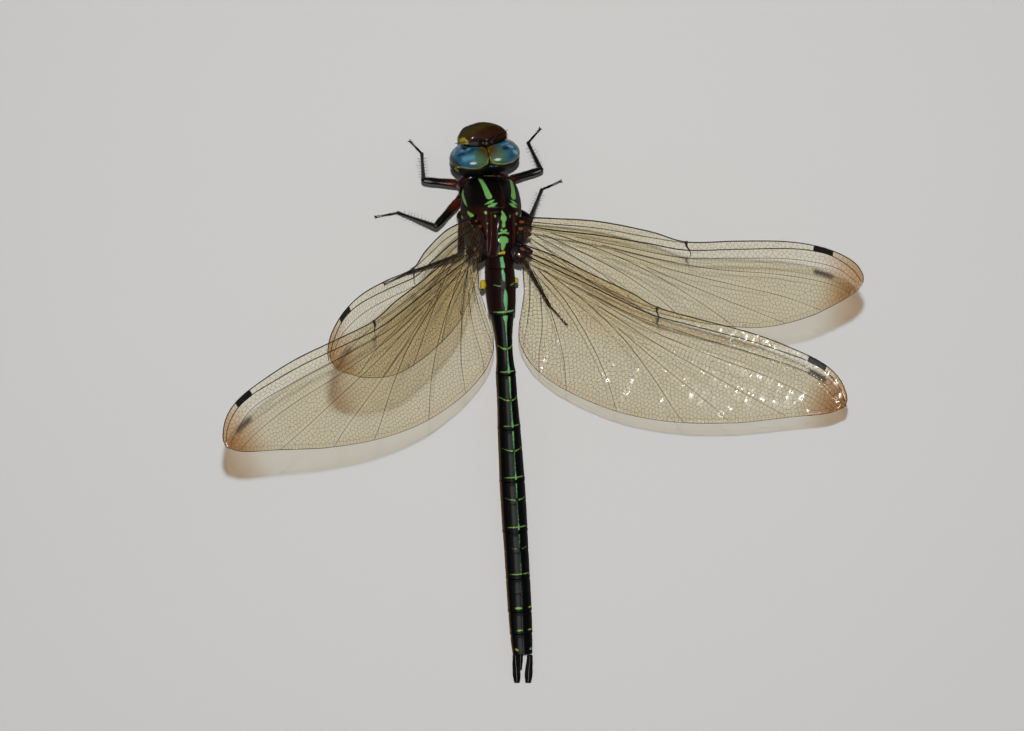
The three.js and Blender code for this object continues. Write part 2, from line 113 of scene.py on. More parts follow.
for name, (place, size, power) in LIGHTS.items():
    light = bpy.data.lights.new(name, "AREA")
    light.shape = "DISK"
    light.size = size
    light.energy = power
    lamp = bpy.data.objects.new(name, light)
    lamp.location = place
    lamp.rotation_euler = (-Vector(place)).to_track_quat("-Z", "Y").to_euler()
    lamp.visible_diffuse = name != "reflector"
    bpy.context.scene.collection.objects.link(lamp)

sky = bpy.data.worlds.new("studio")
sky.use_nodes = True
sky.node_tree.nodes["Background"].inputs["Color"].default_value = linear("f2f4f8")
sky.node_tree.nodes["Background"].inputs["Strength"].default_value = SKY_STRENGTH
bpy.context.scene.world = sky
bpy.context.scene.view_settings.view_transform = "Standard"

# ------------------------------------------------------------------------------------------
# Thorax
# The wing-bearing box of the body, a hard shell of dark red-brown cuticle with a ridge down
# its front, seams between its plates, and leaf-green marks that are colour in the cuticle.

SHIFT = np.array((-7.9, 28.3, 0.0))  # from the pose's origin, under the thorax, to the model's
THORAX_HEIGHT = 7.5
BODY_ROLL = math.radians(18.5)
MIDDLE = 0.35  # the middle line of the thorax's marks, across from the middle of its shell
FAR = 1e3  # mm, beyond every mark
# along the body, half width, height over and under the widest place, squareness over and under
THORAX_STATIONS = (
    (6.75, 0.0, 0.0, 0.0, 2.0, 2.0),
    (6.75, 1.6, 0.6, -2.2, 2.1, 1.9),
    (6.65, 2.7, 1.1, -3.4, 2.2, 1.9),
    (6.1, 3.7, 2.4, -4.4, 2.1, 1.8),
    (4.8, 4.35, 3.9, -5.1, 2.0, 1.7),
    (2.7, 4.65, 5.2, -5.3, 2.0, 1.7),
    (0.6, 4.55, 5.1, -5.2, 2.2, 1.7),
    (-2.2, 4.2, 5.3, -4.7, 2.2, 1.7),
    (-4.4, 3.5, 5.1, -3.0, 2.1, 1.8),
    (-5.5, 2.75, 4.8, -0.9, 2.0, 2.0),
    (-5.75, 1.6, 4.3, 0.6, 2.0, 2.0),
    (-5.75, 0.0, 2.4, 2.4, 2.0, 2.0),
)
# marks on the back: across from the middle line, along, radius. Those at the sides come in pairs.
PAIRED_MARKS = (
    ((2.5, 6.3, 0.26), (2.35, 5.35, 0.33), (2.2, 4.4, 0.38), (2.05, 3.7, 0.47)),
    ((2.75, 2.4, 0.03), (1.9, 2.8, 0.2), (1.2, 3.18, 0.02)),
    ((2.35, 2.05, 0.1), (1.65, 2.31, 0.27), (0.95, 2.66, 0.04)),
    ((2.35, -0.5, 0.13), (2.35, -0.5, 0.13)),
    ((2.6, 1.2, 0.2), (2.5, 1.05, 0.18)),
    ((1.25, 0.75, 0.12), (1.2, 0.5, 0.1)),
)
MIDDLE_MARKS = (
    ((-0.15, 1.55, 0.03), (0.05, 1.0, 0.26), (0.05, 0.32, 0.5), (0.03, -0.3, 0.22), (0.02, -0.8, 0.3)),
    ((0.04, -1.72, 0.15), (0.42, -1.46, 0.18)),
    ((0.04, -1.72, 0.15), (-0.38, -1.46, 0.18)),
    ((0.04, -1.8, 0.14), (0.82, -1.98, 0.15)),
    ((0.04, -1.8, 0.14), (-0.76, -2.02, 0.15)),
    ((0.25, -2.7, 0.3), (0.48, -3.05, 0.38)),
    ((-0.3, -2.7, 0.3), (-0.52, -3.05, 0.38)),
    ((-0.05, -3.3, 0.45), (-0.13, -4.3, 0.24)),
)
YELLOW_MARK = ((-0.6, -5.02, 0.13), (0.12, -4.87, 0.26))
# marks on each flank: along, up, radius
FLANK_MARKS = (
    ((2.25, 1.8, 0.1), (2.9, 1.25, 0.24), (3.7, 0.45, 0.3), (4.6, -0.4, 0.3), (4.9, -2.4, 0.3)),
    ((1.3, 2.06, 0.2), (0.9, 2.6, 0.3), (0.45, 3.35, 0.24), (0.15, 3.8, 0.12)),
    ((-0.3, 2.44, 0.18), (-0.7, 2.89, 0.24), (-1.35, 3.14, 0.12)),
    ((-1.75, 3.9, 0.13), (-1.9, 3.95, 0.13)),
    ((-3.6, 3.5, 0.1), (-4.1, 3.1, 0.12)),
    ((0.6, 0.2, 0.2), (0.9, -1.2, 0.34), (1.5, -2.9, 0.3)),
)
FLANK_SEAMS = (3.3, 1.5, -0.9)  # where each starts along the body
SEAM_SLANT, SEAM_DEPTH = 0.42, 0.14
RIDGE_HEIGHT, CREST_HEIGHT, TROUGH_DEPTH, GUTTER_DEPTH, SHIELD_HEIGHT = 0.22, 0.3, 0.35, 0.45, 0.22
SHIELD_WAVE = 3.6  # the length of the swells of the shields between the wings


def smooth_step(low, high, value):
    """0 below low, 1 above high, and a smooth rise between them."""
    part = np.clip((value - low) / (high - low), 0, 1)
    return part * part * (3 - 2 * part)


def bell(value, width, power=2):
    """1 where the value is 0, falling away over a width."""
    return np.exp(-((value / width) ** power))


def rows(*columns):
    return np.stack(columns, axis=1)


def unit(vectors):
    return vectors / np.linalg.norm(vectors, axis=-1, keepdims=True)


def along_curve(points, parts):
    """Points of a smooth curve through the given rows, at parts of its length from 0 to 1."""
    points = np.array(points, float)
    points = np.vstack([2 * points[0] - points[1], points, 2 * points[-1] - points[-2]])
    at = np.clip(np.asarray(parts, float), 0, 1) * (len(points) - 3)
    i = np.minimum(at.astype(int), len(points) - 4)
    t = (at - i)[..., None]
    p0, p1, p2, p3 = (points[i + k] for k in range(4))
    cubic = (2 * p0 - 5 * p1 + 4 * p2 - p3) * t**2 + (3 * p1 - p0 - 3 * p2 + p3) * t**3
    return 0.5 * (2 * p1 + (p2 - p0) * t + cubic)


def outline(angle, half, top, bottom, upper, lower):
    """A cross-section's across and up at an angle. upper and lower are its squareness."""
    cos, sin = np.cos(angle), np.sin(angle)
    power = 2 / np.where(sin > 0, upper, lower)
    height = np.where(sin > 0, top, bottom)
    return half * np.sign(cos) * np.abs(cos) ** power, height * np.abs(sin) ** power


def turned(points, *turns):
    """Points turned about axes in order, each turn an axis name and an angle."""
    for axis, angle in turns:
        points = points @ np.array(Matrix.Rotation(angle, 3, axis)).T
    return points


def to_strokes(points, strokes):
    """How far points are outside the nearest stroke, a chain of rows that end in a radius. It
    is negative inside one."""
    best = np.full(len(points), FAR)
    for stroke in strokes:
        for start, end in zip(stroke[:-1], stroke[1:]):
            a = np.array(start[:-1])
            step = np.array(end[:-1]) - a
            along = np.clip((points - a) @ step / max(step @ step, 1e-9), 0, 1)
            away = np.linalg.norm(points - a - along[:, None] * step, axis=1)
            best = np.minimum(best, away - start[-1] - along * (end[-1] - start[-1]))
    return best


def ball(segments, rings, radius=1):
    bpy.ops.object.select_all(action="DESELECT")
    bpy.ops.mesh.primitive_uv_sphere_add(segments=segments, ring_count=rings, radius=radius)
    return bpy.context.object


def read(piece):
    """The places of a piece's points."""
    places = np.zeros(len(piece.data.vertices) * 3)
    piece.data.vertices.foreach_get("co", places)
    return places.reshape(-1, 3)


def put(piece, points):
    """Moves a piece's points to places in mm."""
    piece.data.vertices.foreach_set("co", (points * MM).ravel())


def note(piece, name, values):
    """Stores a number from -1 to 1, or a vector, at each point for a material to read."""
    values = np.asarray(values, float)
    kind = "FLOAT_VECTOR"
    if values.ndim < 2:
        kind = "FLOAT"
        values = np.clip(np.broadcast_to(values, len(piece.data.vertices)), -1, 1)
    attribute = piece.data.attributes.get(name) or piece.data.attributes.new(name, kind, "POINT")
    attribute.data.foreach_set("value" if kind == "FLOAT" else "vector", values.ravel())


def edited(piece, *steps):
    """Takes editing steps, each with its settings, on the whole of a piece's mesh."""
    bpy.ops.object.select_all(action="DESELECT")
    piece.select_set(True)
    bpy.context.view_layer.objects.active = piece
    bpy.ops.object.mode_set(mode="EDIT")
    for step, settings in steps:
        bpy.ops.mesh.select_all(action="SELECT")
        step(**settings)
    bpy.ops.object.mode_set(mode="OBJECT")


def formed(name, segments, rings, shape):
    """A ball drawn out into a closed body. shape(part, angle) gives its points in its own frame
    and in the model's, where part goes from one end to the other and angle goes round."""
    piece = ball(segments, rings)
    piece.name = name
    x, y, z = read(piece).T
    own, placed = shape(np.arccos(np.clip(z, -1, 1)) / math.pi, np.arctan2(y, x))
    put(piece, placed)
    edited(piece, (bpy.ops.mesh.normals_make_consistent, {"inside": False}))
    bpy.ops.object.shade_smooth()
    note(piece, "place", own)
    note(piece, "red", 0)
    return piece, own


def finish(piece, material, slot, *replaced):
    """The calls that every finished piece needs."""
    piece.data.materials.clear()
    piece.data.materials.append(material)
    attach(piece, "root")
    if replaced:
        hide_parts(*replaced)


def thorax_place(points):
    """From the thorax's own frame to the model's."""
    return turned(points, ("Y", BODY_ROLL)) + np.array((0, 0, THORAX_HEIGHT)) + SHIFT


def thorax_shape(part, angle):
    y, half, top, bottom, upper, lower = along_curve(THORAX_STATIONS, part).T
    across, up = outline(angle, np.maximum(half, 0), top, bottom, upper, lower)
    side = np.abs(across - MIDDLE)
    back = smooth_step(1.6, 0.8, y) * smooth_step(-5.6, -5.0, y)
    ridge = RIDGE_HEIGHT * bell(side, 0.16) * smooth_step(1.6, 2.4, y)
    crest = CREST_HEIGHT * bell(y - 2.0, 0.35) * bell(side, 2.6, 4)
    trough = TROUGH_DEPTH * bell(y - 1.25, 0.35) * bell(side, 3.0, 4)
    gutter = GUTTER_DEPTH * bell(side - 1.75, 0.4) * back
    swell = 0.6 + 0.4 * np.cos(y * 2 * math.pi / SHIELD_WAVE)
    shield = SHIELD_HEIGHT * bell(side, 1.0, 4) * back * swell
    lift = (ridge + crest - trough - gutter + shield) * (up > 0)
    shell = rows(across, y, up + lift * smooth_step(0.2, 1.5, np.hypot(across, up)))
    # the seams between the plates of the flanks, which slant down and forward
    for start in FLANK_SEAMS:
        groove = SEAM_DEPTH * bell(y - start - SEAM_SLANT * (3.2 - up), 0.13) * smooth_step(2.4, 3.2, side)
        shell[:, 0] -= np.sign(across) * groove
    return shell, thorax_place(shell)


def noted(tree, name, output="Fac"):
    return add(tree, "Attribute", {"attribute_name": name}).outputs[output]


def reckoned(tree, operation, *values, clamp=False):
    return add(tree, "Math", {"operation": operation, "use_clamp": clamp, **dict(enumerate(values))})


def ramp(tree, value, low, high, top=1.0):
    """A smooth rise from 0 at low to top at high."""
    ends = {"From Min": low, "From Max": high, "To Max": top}
    return add(tree, "MapRange", {"interpolation_type": "SMOOTHSTEP", "Value": value, **ends})


def blend(tree, amount, first, second):
    """A colour between two others, each a hex colour or a socket."""
    ends = (linear(end) if isinstance(end, str) else end for end in (first, second))
    return add(tree, "Mix", {"data_type": "RGBA", 0: amount, **dict(zip((6, 7), ends))}).outputs[2]


def cuticle(name, dark, red, marks, roughness, punctures, gloss):
    """Insect cuticle: a hard shell with its colours inside it and a thin lacquer-like surface.
    marks are the noted distances of the coloured marks, each with the colours it goes between."""
    material, tree = new_material(name)
    place = noted(tree, "place", "Vector")
    cloud = add(tree, "TexNoise", {"Vector": place, "Scale": 0.8, "Detail": 4.0})
    redness = noted(tree, "red")
    spread = reckoned(tree, "ADD", redness, reckoned(tree, "MULTIPLY_ADD", cloud, 0.9, -0.4), clamp=True)
    colour = blend(tree, reckoned(tree, "MULTIPLY", spread, redness, clamp=True), dark, red)
    unevenness = add(tree, "TexNoise", {"Vector": place, "Scale": 3.5, "Detail": 2.0})
    wobble = reckoned(tree, "MULTIPLY_ADD", unevenness, 0.14, -0.07)
    for mark, first, second in marks:
        edge = reckoned(tree, "ADD", noted(tree, mark), wobble)
        colour = blend(tree, ramp(tree, edge, 0.05, -0.05), colour, blend(tree, cloud, first, second))
    pits = add(tree, "TexNoise", {"Vector": place, "Scale": punctures, "Detail": 2.0})
    bump = add(tree, "Bump", {"Strength": 0.25, "Distance": 0.00003, "Height": pits})
    surface = {"Roughness": roughness, "IOR": 1.5, "Specular IOR Level": gloss * 0.3}
    lacquer = {"Coat Weight": gloss * 0.4, "Coat Roughness": 0.1}
    shader = add(tree, "BsdfPrincipled", {"Base Color": colour, "Normal": bump, **surface, **lacquer})
    add(tree, "OutputMaterial", {0: shader})
    return material


thorax, shell = formed("thorax_shell", 160, 150, thorax_shape)
plan = shell[:, :2] - (MIDDLE, 0)
folded = np.abs(plan) * (1, 0) + plan * (0, 1)
on_back = shell[:, 2] > 0.8
green = np.minimum(to_strokes(plan, MIDDLE_MARKS), to_strokes(folded, PAIRED_MARKS))
flank = np.where(np.abs(shell[:, 0]) > 2.9, to_strokes(shell[:, 1:], FLANK_MARKS), FAR)
note(thorax, "green", np.minimum(np.where(on_back, green, FAR), flank))
note(thorax, "yellow", np.where(on_back, to_strokes(plan, [YELLOW_MARK]), FAR))
behind = smooth_step(3.4, 1.0, shell[:, 1]) * smooth_step(0.3, 1.6, folded[:, 0])
note(thorax, "red", np.maximum(behind, 0.9 * bell(plan[:, 0], 0.5) * smooth_step(5.2, 3.4, shell[:, 1])))
thorax_marks = (("green", "729c40", "5a9e62"), ("yellow", "a3921f", "b59c2a"))
thorax_cuticle = cuticle(
    "red_brown_cuticle_with_green_marks", "090505", "240b07", thorax_marks, 0.5, 6.0, 0.15
)
finish(thorax, thorax_cuticle, "dark_cuticle", "synthorax")

# ------------------------------------------------------------------------------------------
# Abdomen
# Ten rings of hard cuticle, red-brown at the base and then black, each tucked under the one
# before it. Most have a pale green line near the hind edge, a broken one across the middle and
# a fine one down the back.

ABDOMEN_START = np.array((1.35, -6.25, 9.6))
ABDOMEN_END = np.array((4.95, -66.8, 1.0))
ABDOMEN_SAG = 1.5
RING_GAP = 0.3
KNOB_AT = 3.2  # how far along the abdomen the knobs of the second ring are
# each knob's side, how far out and down it is, and half its length
KNOBS = (("left", -1, 2.75, 0.45, 0.8), ("right", 1, 2.7, 0.6, 0.5))
KEEL_HEIGHT, PINCH_DEPTH = 0.05, 0.07
# each ring's length, then its half width and half height at its start, middle and end
ABDOMEN_RINGS = (
    (2.1, (1.9, 2.1, 2.15), (2.2, 2.4, 2.5)),
    (7.2, (2.15, 2.25, 1.95), (2.55, 2.6, 1.95)),
    (9.3, (1.8, 1.27, 1.55), (1.8, 1.3, 1.5)),
    (8.4, (1.55, 1.6, 1.78), (1.5, 1.5, 1.62)),
    (8.1, (1.78, 1.88, 1.97), (1.62, 1.65, 1.7)),
    (7.9, (1.97, 1.98, 1.95), (1.7, 1.7, 1.68)),
    (7.3, (1.93, 1.9, 1.88), (1.66, 1.6, 1.55)),
    (5.2, (1.9, 1.9, 1.86), (1.52, 1.45, 1.4)),
    (3.5, (1.85, 1.83, 1.78), (1.38, 1.32, 1.25)),
    (3.3, (1.74, 1.68, 1.55), (1.22, 1.15, 1.0)),
)
ABDOMEN_TUCK = 1.5  # how far the first ring reaches in under the end of the thorax
ABDOMEN_LENGTH = sum(length for length, _, _ in ABDOMEN_RINGS) - ABDOMEN_TUCK
# blue-green marks down the middle of each ring, then its yellow-green cross marks: along it
# from its start, across its back from the middle line, radius
RING_MARKS = (
    (((0.1, -0.35, 0.22), (1.0, -0.3, 0.26), (1.75, -0.25, 0.3)),),
    (((0.2, -0.35, 0.14), (0.9, -0.32, 0.24), (1.5, -0.28, 0.18), (2.2, -0.25, 0.03)),
     ((3.1, -0.2, 0.05), (3.9, -0.15, 0.27), (4.9, -0.15, 0.32), (5.8, -0.1, 0.2), (6.4, -0.1, 0.14))),
    (((0.35, -0.08, 0.38), (0.6, -0.08, 0.3), (1.0, -0.05, 0.17), (2.6, 0.0, 0.07), (5.2, 0.05, 0.04)),
     ((5.2, 0.05, 0.06), (7.6, 0.05, 0.09), (8.8, 0.05, 0.22))),
    (((0.3, 0.05, 0.13), (3.6, 0.05, 0.07)), ((3.9, 0.05, 0.06), (7.0, 0.05, 0.09), (7.9, 0.05, 0.18))),
    (((0.3, 0.05, 0.12), (3.0, 0.05, 0.07)), ((3.3, 0.05, 0.05), (6.8, 0.05, 0.08), (7.6, 0.05, 0.17))),
    (((0.3, 0.05, 0.1), (2.6, 0.05, 0.06)), ((2.9, 0.05, 0.04), (6.5, 0.05, 0.07), (7.4, 0.05, 0.14))),
    (((0.3, 0.05, 0.07), (2.4, 0.05, 0.04)), ((2.8, 0.05, 0.03), (6.7, 0.05, 0.07))),
    (((0.5, 0.05, 0.03), (4.4, 0.05, 0.02)),),
    (),
    (),
)
CROSS_MARKS = (
    (),
    (((2.4, 1.7, 0.03), (2.55, 1.15, 0.08), (2.62, 0.7, 0.04)),),
    (((4.7, 1.2, 0.04), (5.15, 0.65, 0.09), (5.25, 0.25, 0.13)),),
    (((3.35, 1.5, 0.04), (3.75, 0.85, 0.07), (3.9, 0.25, 0.1)),),
    (((2.85, 1.6, 0.04), (3.15, 0.9, 0.06), (3.3, 0.25, 0.1)),),
    (((2.5, 1.6, 0.03), (2.75, 0.9, 0.06), (2.85, 0.3, 0.08)),),
    (((2.3, 1.4, 0.02), (2.5, 0.9, 0.04), (2.6, 0.4, 0.05)),),
    (),
    (),
    (((2.35, 1.25, 0.12), (2.5, 1.05, 0.16)),),
)
# the pale band near the hind edge of each ring: its width, how far before the edge, the half
# width of the gap in it and where that is across the ring
HIND_BANDS = (
    (0.0, 0.5, 0.0, 0.0), (0.24, 0.55, 0.0, 0.0), (0.16, 0.55, 0.0, 0.0), (0.14, 0.6, 0.0, 0.0),
    (0.14, 0.7, 0.0, 0.0), (0.15, 0.85, 0.03, 0.2), (0.15, 0.75, 0.08, 0.3), (0.36, 0.6, 0.5, 0.45),
    (0.3, 0.6, 0.4, 0.3), (0.0, 0.5, 0.0, 0.0),
)


def abdomen_centre(part):
    """The middle of the abdomen at parts of its length."""
    centre = ABDOMEN_START + (ABDOMEN_END - ABDOMEN_START) * part[:, None]
    fall = 1 - np.maximum(1 - part, 0) ** ABDOMEN_SAG
    centre[:, 2] = ABDOMEN_START[2] + (ABDOMEN_END[2] - ABDOMEN_START[2]) * fall
    return centre


def abdomen_frame(part):
    """The sideways and upward directions of the rolled abdomen at parts of its length."""
    along = unit(abdomen_centre(part - 0.01) - abdomen_centre(part + 0.01))
    up = np.tile((0.0, 0.0, 1.0), (len(along), 1))
    cos, sin = math.cos(BODY_ROLL), math.sin(BODY_ROLL)
    up = up * cos + np.cross(along, up) * sin + along * along[:, 2:] * (1 - cos)
    side = unit(np.cross(along, up))
    return side, np.cross(side, along)


def three_point(values, part):
    """Between the values at a start, middle and end."""
    before = (1 - part) * (1 - 2 * part)
    return values[0] * before + values[1] * 4 * part * (1 - part) + values[2] * part * (2 * part - 1)


def rounded(part, cap):
    """Of a body with rounded ends: where between them its parts are, how near they are to an
    end, from 1 down to 0, and how far they narrow for it."""
    inside = np.clip((part - cap) / (1 - 2 * cap), 0, 1)
    closing = np.clip(np.minimum(part, 1 - part) / cap, 0, 1)
    return inside, closing, np.sqrt(1 - (1 - closing) ** 2)


def make_ring(index, travelled):
    """One ring of the abdomen, with a rounded front edge, a lip at its hind edge and a keel."""
    length, halves, heights = ABDOMEN_RINGS[index]

    def shape(part, angle):
        inside, closing, shrink = rounded(part, 0.07)
        shrink = np.where((closing < 1) & (part > 0.5), np.minimum(closing * 1.3, 1), shrink)
        y = RING_GAP * 0.2 + (length - RING_GAP * 0.4) * inside
        flare = 1 + 0.02 * smooth_step(length - 0.7, length - 0.1, y) - 0.035 * smooth_step(0.7, 0.0, y)
        size = flare * shrink * (1 - 0.02 * bell(y - 0.42 * length, 0.16) * (0 < index < 8))
        high = three_point(heights, inside) * size
        across, up = outline(angle, three_point(halves, inside) * size, high, -high * 0.92, 1.9, 2.3)
        keel = KEEL_HEIGHT * bell(across, 0.09) * (up > 0) * shrink
        pinch = PINCH_DEPTH * bell(up + 0.45 * high, 0.12) * np.sign(across) * shrink
        at = (travelled + y) / ABDOMEN_LENGTH
        side, over = abdomen_frame(at)
        points = abdomen_centre(at) + side * (across - pinch)[:, None] + over * (up + keel)[:, None]
        points[:, 2] = np.maximum(points[:, 2], 0)
        return rows(across, y, up), points + SHIFT

    ring, place = formed(f"abdomen_{index + 1:02d}_shell", 72, max(28, int(length * 9)), shape)
    across, y, up = place.T
    aside = np.abs(across)
    cross = to_strokes(rows(y, aside), CROSS_MARKS[index])
    width, back, gap, middle_at = HIND_BANDS[index]
    if width:
        # the band thins toward its ends, and toward the gap where that is wide
        band = np.abs(y - (length - back)) - width / 2 + 0.1 * smooth_step(0.5, 1.0, aside / halves[2])
        beside = np.abs(across - middle_at) - gap
        thinner = 0.3 * smooth_step(0.5, 0.0, beside) + 0.5 * smooth_step(0.4, 0.72, -across / halves[2])
        cross = np.minimum(cross, np.maximum(band + width * thinner * (gap > 0.3), -beside))
    note(ring, "green", np.where(up > 0, to_strokes(rows(y, across), RING_MARKS[index]), 1))
    note(ring, "lime", np.where(up > -0.1, cross, 1))
    amber = smooth_step(0.36, 0.14, up / heights[1]) * smooth_step(0.25, 0.6, aside / halves[1])
    note(ring, "red", np.maximum(amber, 0.55 * (index < 2)))
    return ring


base_marks = (("lime", "6f9a3f", "5fa066"), ("green", "639a5a", "559c78"))
base_cuticle = cuticle("red_brown_abdomen_cuticle", "0b0505", "260d08", base_marks, 0.5, 5.0, 0.12)
ring_marks = (("lime", "7c9a33", "669c45"), ("green", "6d9a48", "4c9d72"))
black_cuticle = cuticle("black_abdomen_cuticle", "040405", "553a0e", ring_marks, 0.45, 5.0, 0.11)

# the ear-like knob at each side of the second ring, a shallow dish, hollow on its outer face
for side_name, side, reach, down, size in KNOBS:
    at = np.array([KNOB_AT / ABDOMEN_LENGTH])
    across, over = abdomen_frame(at)
    middle = abdomen_centre(at) + across * side * reach - over * down + SHIFT
    knob = ball(28, 18)
    knob.name = f"side_knob_{side_name}"
    place = read(knob)
    hollow = 0.16 * np.exp(-(place[:, 1:] ** 2).sum(1) / 0.3)
    dish = place * (0.5, size, 0.5) - hollow[:, None] * (side, 0, 0)
    put(knob, turned(dish, ("Y", BODY_ROLL)) + middle)
    bpy.ops.object.shade_smooth()
    note(knob, "place", place)
    note(knob, "red", 0)
    note(knob, "green", 1)
    note(knob, "yellow", np.where(place[:, 1] > -0.75, -1, 1))
    finish(knob, thorax_cuticle, "abdomen_cuticle")
travelled = -ABDOMEN_TUCK
for index in range(len(ABDOMEN_RINGS)):
    ring = make_ring(index, travelled)
    finish(ring, base_cuticle if index < 2 else black_cuticle, "abdomen_cuticle", f"abdomen_{index + 1:02d}")
    travelled += ABDOMEN_RINGS[index][0]

# ------------------------------------------------------------------------------------------
# Head
# A hollow capsule, black behind, that carries two great eyes which meet on top, a bulging
# polished face below them, the mouthparts under it, and two short bristle-like feelers.

HEAD_PLACE = np.array((-1.0, 10.6, 7.9))
HEAD_TURNS = (("Y", math.radians(13)), ("X", math.radians(20)), ("Z", math.radians(5)))
EYE_CENTRE = (1.95, -0.35, 0.3)
EYE_RADII = (3.5, 2.25, 3.6)
EYE_REAR = -1.45
EYE_SEAM = 0.1  # from the middle of the head to the edge of each eye
SIDES = (("left", -1), ("right", 1))
# the capsule behind the eyes: along, half width, height over and under, squareness
CAPSULE_STATIONS = (
    (-0.2, 0.0, 0.0, 0.0, 2.2, 2.2),
    (-0.4, 3.4, 2.6, -2.1, 2.2, 2.2),
    (-0.9, 4.9, 3.3, -2.9, 2.25, 2.2),
    (-1.3, 5.33, 3.68, -3.15, 2.3, 2.2),
    (-1.75, 5.32, 3.55, -3.05, 2.3, 2.2),
    (-2.25, 5.05, 3.1, -2.7, 2.3, 2.2),
    (-2.75, 4.5, 2.45, -2.2, 2.2, 2.2),
    (-3.05, 3.7, 1.75, -1.6, 2.1, 2.0),
    (-3.0, 2.6, 1.3, -1.2, 2.0, 2.0),
    (-2.8, 1.6, 0.9, -0.9, 2.0, 2.0),
    (-2.8, 0.0, 0.0, 0.0, 2.0, 2.0),
)
# its pale marks, as across, along, up and radius: a line at both sides, and a hook at the left
CAPSULE_LINE = ((0.0, 2.95, 1.35, 0.05), (2.2, 2.95, 1.25, 0.12))
CAPSULE_HOOK = ((-5.0, -1.4, 1.5, 0.2), (-4.75, -1.7, 1.9, 0.16))
# the face from top to bottom: height, half width, where it is widest, its front and its back
FACE_LEVELS = (
    (2.15, 0.0, 2.0, 2.0, 2.0),
    (2.12, 1.3, 2.0, 2.75, 1.6),
    (1.95, 2.35, 2.1, 3.45, 1.4),
    (1.6, 3.25, 2.25, 4.15, 1.25),
    (1.1, 3.65, 2.4, 4.62, 1.1),
    (0.5, 3.8, 2.4, 4.75, 1.0),
    (-0.1, 3.83, 2.4, 4.74, 0.9),
    (-0.9, 3.78, 2.3, 4.6, 0.8),
    (-1.9, 3.5, 2.2, 4.3, 0.7),
    (-2.5, 2.9, 2.1, 3.95, 0.7),
    (-2.7, 1.9, 2.1, 3.4, 1.0),
    (-2.72, 0.0, 2.1, 2.1, 2.1),
)
# the grooves across the face, with how high each is at the middle and how deep
FACE_GROOVES = ((0.85, 0.12), (-0.7, 0.17), (-1.65, 0.15))
# the face's marks, as across, along, up and radius: its yellow cheeks, the streak below each,
# and the olive band over the brow
CHEEKS = (
    ((-3.75, 2.5, 0.8, 0.5), (-3.35, 2.7, 1.4, 0.5), (-2.95, 2.55, 1.7, 0.35)),
    ((3.75, 2.4, 0.7, 0.35), (3.5, 2.5, 1.2, 0.3)),
)
CHEEK_STREAK = ((3.8, 2.6, -0.2, 0.25), (3.6, 3.0, -1.3, 0.3))
BROW_BAND = (
    ((-3.6, 2.9, 0.6, 0.5), (-2.9, 3.5, 1.0, 0.65), (-1.5, 4.2, 1.15, 0.6), (0.3, 4.5, 1.0, 0.4)),
    ((0.3, 4.5, 0.9, 0.4), (1.8, 4.25, 0.6, 0.3), (3.3, 3.2, 0.5, 0.3)),
)
BROW_KNOB = ((-0.85, 2.0, 2.25), (0, 2.2, 2.6), (0.85, 2.0, 2.25))
BROW_KNOB_RADII = (0.4, 0.55, 0.4)
CORNEAS = ((0, 2.75, 2.72), (0.62, 2.35, 2.78), (-0.62, 2.35, 2.78))
CORNEA_RADIUS = 0.2


def head_place(points):
    """From the head's own frame to the model's."""
    return turned(points, *HEAD_TURNS) + HEAD_PLACE + SHIFT


def onto_head(piece):
    """Moves a piece that was made in the head's own frame."""
    put(piece, head_place(read(piece) / MM))


def capsule_shape(part, angle):
    y, half, top, bottom, upper, lower = along_curve(CAPSULE_STATIONS, part).T
    across, up = outline(angle, np.maximum(half, 0), top, bottom, upper, lower)
    notch = 0.5 * bell(across, 0.7) * smooth_step(0, 1.5, up)
    points = rows(across, y, up - notch)
    return points, head_place(points)


def face_shape(part, angle):
    z, half, widest, front, back = along_curve(FACE_LEVELS, part).T
    cos, sin = np.cos(angle), np.sin(angle)
    across = np.maximum(half, 0) * np.sign(cos) * np.abs(cos) ** np.where(sin > 0, 1.2, 1.0)
    forward = np.where(sin > 0, front - widest, widest - back) * np.sign(sin) * np.abs(sin) ** 1.1
    grooves = 0
    for height, depth in FACE_GROOVES:
        grooves = grooves + depth * bell(z - height - 0.05 * across**2 * np.sign(height), 0.11)
    # the pit in the middle of the brow and the dent in the lip
    pits = 0.16 * bell(across, 0.55) * bell(z - 1.75, 0.3) + 0.2 * bell(across, 0.4) * bell(z + 2.35, 0.35)
    inward = grooves * smooth_step(-0.3, 0.4, sin) + pits * (sin > 0)
    outward = unit(rows(across / 3.8, forward / 2.3, 0 * z) + 1e-9)
    points = rows(across, widest + forward, z) - outward * inward[:, None]
    return points, head_place(points)


def joined(name, pieces):
    """Several objects joined into one."""
    bpy.ops.object.select_all(action="DESELECT")
    for piece in pieces:
        piece.select_set(True)
    bpy.context.view_layer.objects.active = pieces[0]
    bpy.ops.object.join()
    pieces[0].name = name
    return pieces[0]


def reaches(curve):
    """How far along a curve each of its points is."""
    return np.concatenate([[0], np.cumsum(np.linalg.norm(np.diff(curve, axis=0), axis=1))])


def at_reach(places, reach, curve):
    """Points of a curve at places along it."""
    return rows(*(np.interp(places, reach, column) for column in curve.T))


